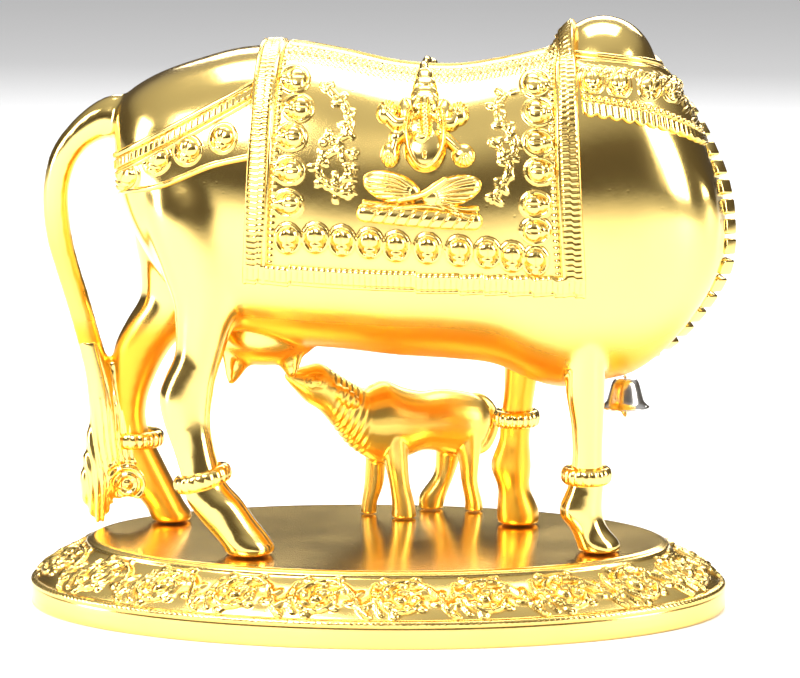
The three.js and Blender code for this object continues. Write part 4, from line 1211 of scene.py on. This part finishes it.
BELL_EYE_AT = (58.4, 10.4, 58.3)
BELL_HEIGHT, BELL_RADIUS, BELL_WALL = 7.4, 5.8, 0.7
EYE_RADIUS, WIRE, RING_RADIUS, GAP = 1.5, 0.42, 1.5, 0.3
RING_MIDDLE = BELL_EYE_AT[2] - EYE_RADIUS + 2 * WIRE + GAP - RING_RADIUS
CROWN_EYE = RING_MIDDLE - RING_RADIUS + 2 * WIRE + GAP - EYE_RADIUS
BELL_FOOT = CROWN_EYE - EYE_RADIUS + 0.2 - BELL_HEIGHT


def spun(outline, steps=64):
    bm = bmesh.new()
    corners = [bm.verts.new((r, 0, z)) for r, z in outline]
    edges = [bm.edges.new(pair) for pair in zip(corners[:-1], corners[1:])]
    bmesh.ops.spin(bm, geom=corners + edges, cent=(0, 0, 0), axis=(0, 0, 1), angle=2 * math.pi, steps=steps,
                   use_merge=True)
    bmesh.ops.remove_doubles(bm, verts=bm.verts, dist=1e-4)
    bmesh.ops.recalc_face_normals(bm, faces=bm.faces)
    bmesh.ops.translate(bm, vec=(BELL_EYE_AT[0], BELL_EYE_AT[1], BELL_FOOT), verts=bm.verts)
    return bm


def wire_loop(radius, at, about_x):
    def place(u, v):
        turn, tilt = 2 * np.pi * u, 2 * np.pi * v
        out = radius + WIRE * np.cos(tilt)
        first, second, third = out * np.cos(turn), out * np.sin(turn), WIRE * np.sin(tilt)
        if about_x:
            return np.stack([at[0] + third, at[1] + first, at[2] + second], axis=1)
        return np.stack([at[0] + first, at[1] + third, at[2] + second], axis=1)

    return closed_tube(40, 12, place)


def bell_shell(material):
    outside = through([(0, BELL_HEIGHT), (1.5, BELL_HEIGHT - 0.1), (2.7, BELL_HEIGHT - 0.7), (3.4, BELL_HEIGHT - 1.9),
                       (4.1, BELL_HEIGHT * 0.42), (4.6, BELL_HEIGHT * 0.2), (5.3, BELL_HEIGHT * 0.08)],
                      np.linspace(0, 1, 25))
    rim = [(BELL_RADIUS, 0.35), (BELL_RADIUS, 0.0), (BELL_RADIUS - 0.6, 0.0)]
    inside = [(r - BELL_WALL, z) for r, z in ((5.3, 0.6), (4.6, 1.6), (4.0, 3.1), (3.3, 5.2), (2.6, 6.1))]
    outline = [tuple(spot) for spot in outside] + rim + inside + [(0.9, BELL_HEIGHT - 1.0), (0, BELL_HEIGHT - 0.95)]
    bm = merged([spun(outline), wire_loop(EYE_RADIUS, (BELL_EYE_AT[0], BELL_EYE_AT[1], CROWN_EYE), True)])
    return stored("bell_shell", bm, material)


def bell_drop(material):
    outline = [(0, BELL_HEIGHT - 1.2), (0.4, BELL_HEIGHT - 1.6), (0.42, 3.4), (0.6, 2.4), (1.2, 1.4), (1.5, 0.2),
               (1.35, -0.7), (0.6, -1.9), (0, -2.6)]
    return stored("bell_drop", spun(outline, 32), material)


# Build the figurine

def make_figurine():
    # deep is the painted shade colour laid into hollows and undersides.
    pale, deep = (0.95, 0.69, 0.22), (0.88, 0.44, 0.04)
    polished = gilt("polished_gilt", pale, deep, 0.12, 0.34)
    carved = gilt("carved_gilt", pale, deep, 0.16, 0.36, pitting=0.9)
    # The calf's deeper orange base is painted shade and painted reflection of the gold around it under the cow; its
    # duller roughness is a satin finish.
    satin_and_painted_shade = gilt("satin_gilt", (0.92, 0.60, 0.13), deep, 0.27, 0.4)
    silvered = gilt("bright_nickel", (0.72, 0.70, 0.66), (0.5, 0.42, 0.3), 0.2, 0.4)

    body = cow_body()
    find = surface_finder(body)
    # Painted shade and painted reflection on the undersides and between the legs, with the satin finish there.
    marks = satin_and_shade_marks(body)
    belongs(saddle_cloth(find, -1, carved, "saddle_cloth_near", 270, 250), "cow")
    far_flank = surface_finder(bare_barrel())
    belongs(saddle_cloth(far_flank, 1, carved, "saddle_cloth_far", 200, 180), "cow")
    belongs(seated_figure(find, -1, carved, "seated_figure_near", 230, 280), "cow")
    belongs(seated_figure(find, 1, carved, "seated_figure_far", 120, 150), "cow")
    for side, word in ((-1, "near"), (1, "far")):
        belongs(haunch_strap(find, side, carved, "haunch_strap_" + word), "cow")
        belongs(hump_strap(find, side, carved, "hump_strap_" + word), "cow")
    belongs(garland(find, carved), "cow")
    for name, at, half, lean in ANKLETS:
        belongs(anklet(name, at, half, lean, carved), "cow")
    belongs(tail_tuft(carved), "cow")
    eye = wire_loop(EYE_RADIUS, BELL_EYE_AT, True)
    belongs(stored("garland_eye", eye, polished), "cow")
    piece = stored("cow_body", body, polished, marks={"satin_and_painted_shade": marks})
    belongs(piece, "cow")
    belongs(calf_body(satin_and_painted_shade), "calf")
    belongs(plinth_body(carved), "plinth")
    belongs(bell_shell(silvered), "bell")
    belongs(bell_drop(silvered), "bell_clapper")
    ring = wire_loop(RING_RADIUS, (BELL_EYE_AT[0], BELL_EYE_AT[1], RING_MIDDLE), False)
    belongs(stored("hanging_ring", ring, silvered), "bell_ring")


set_camera()
light_studio()
lay_floor()
make_figurine()
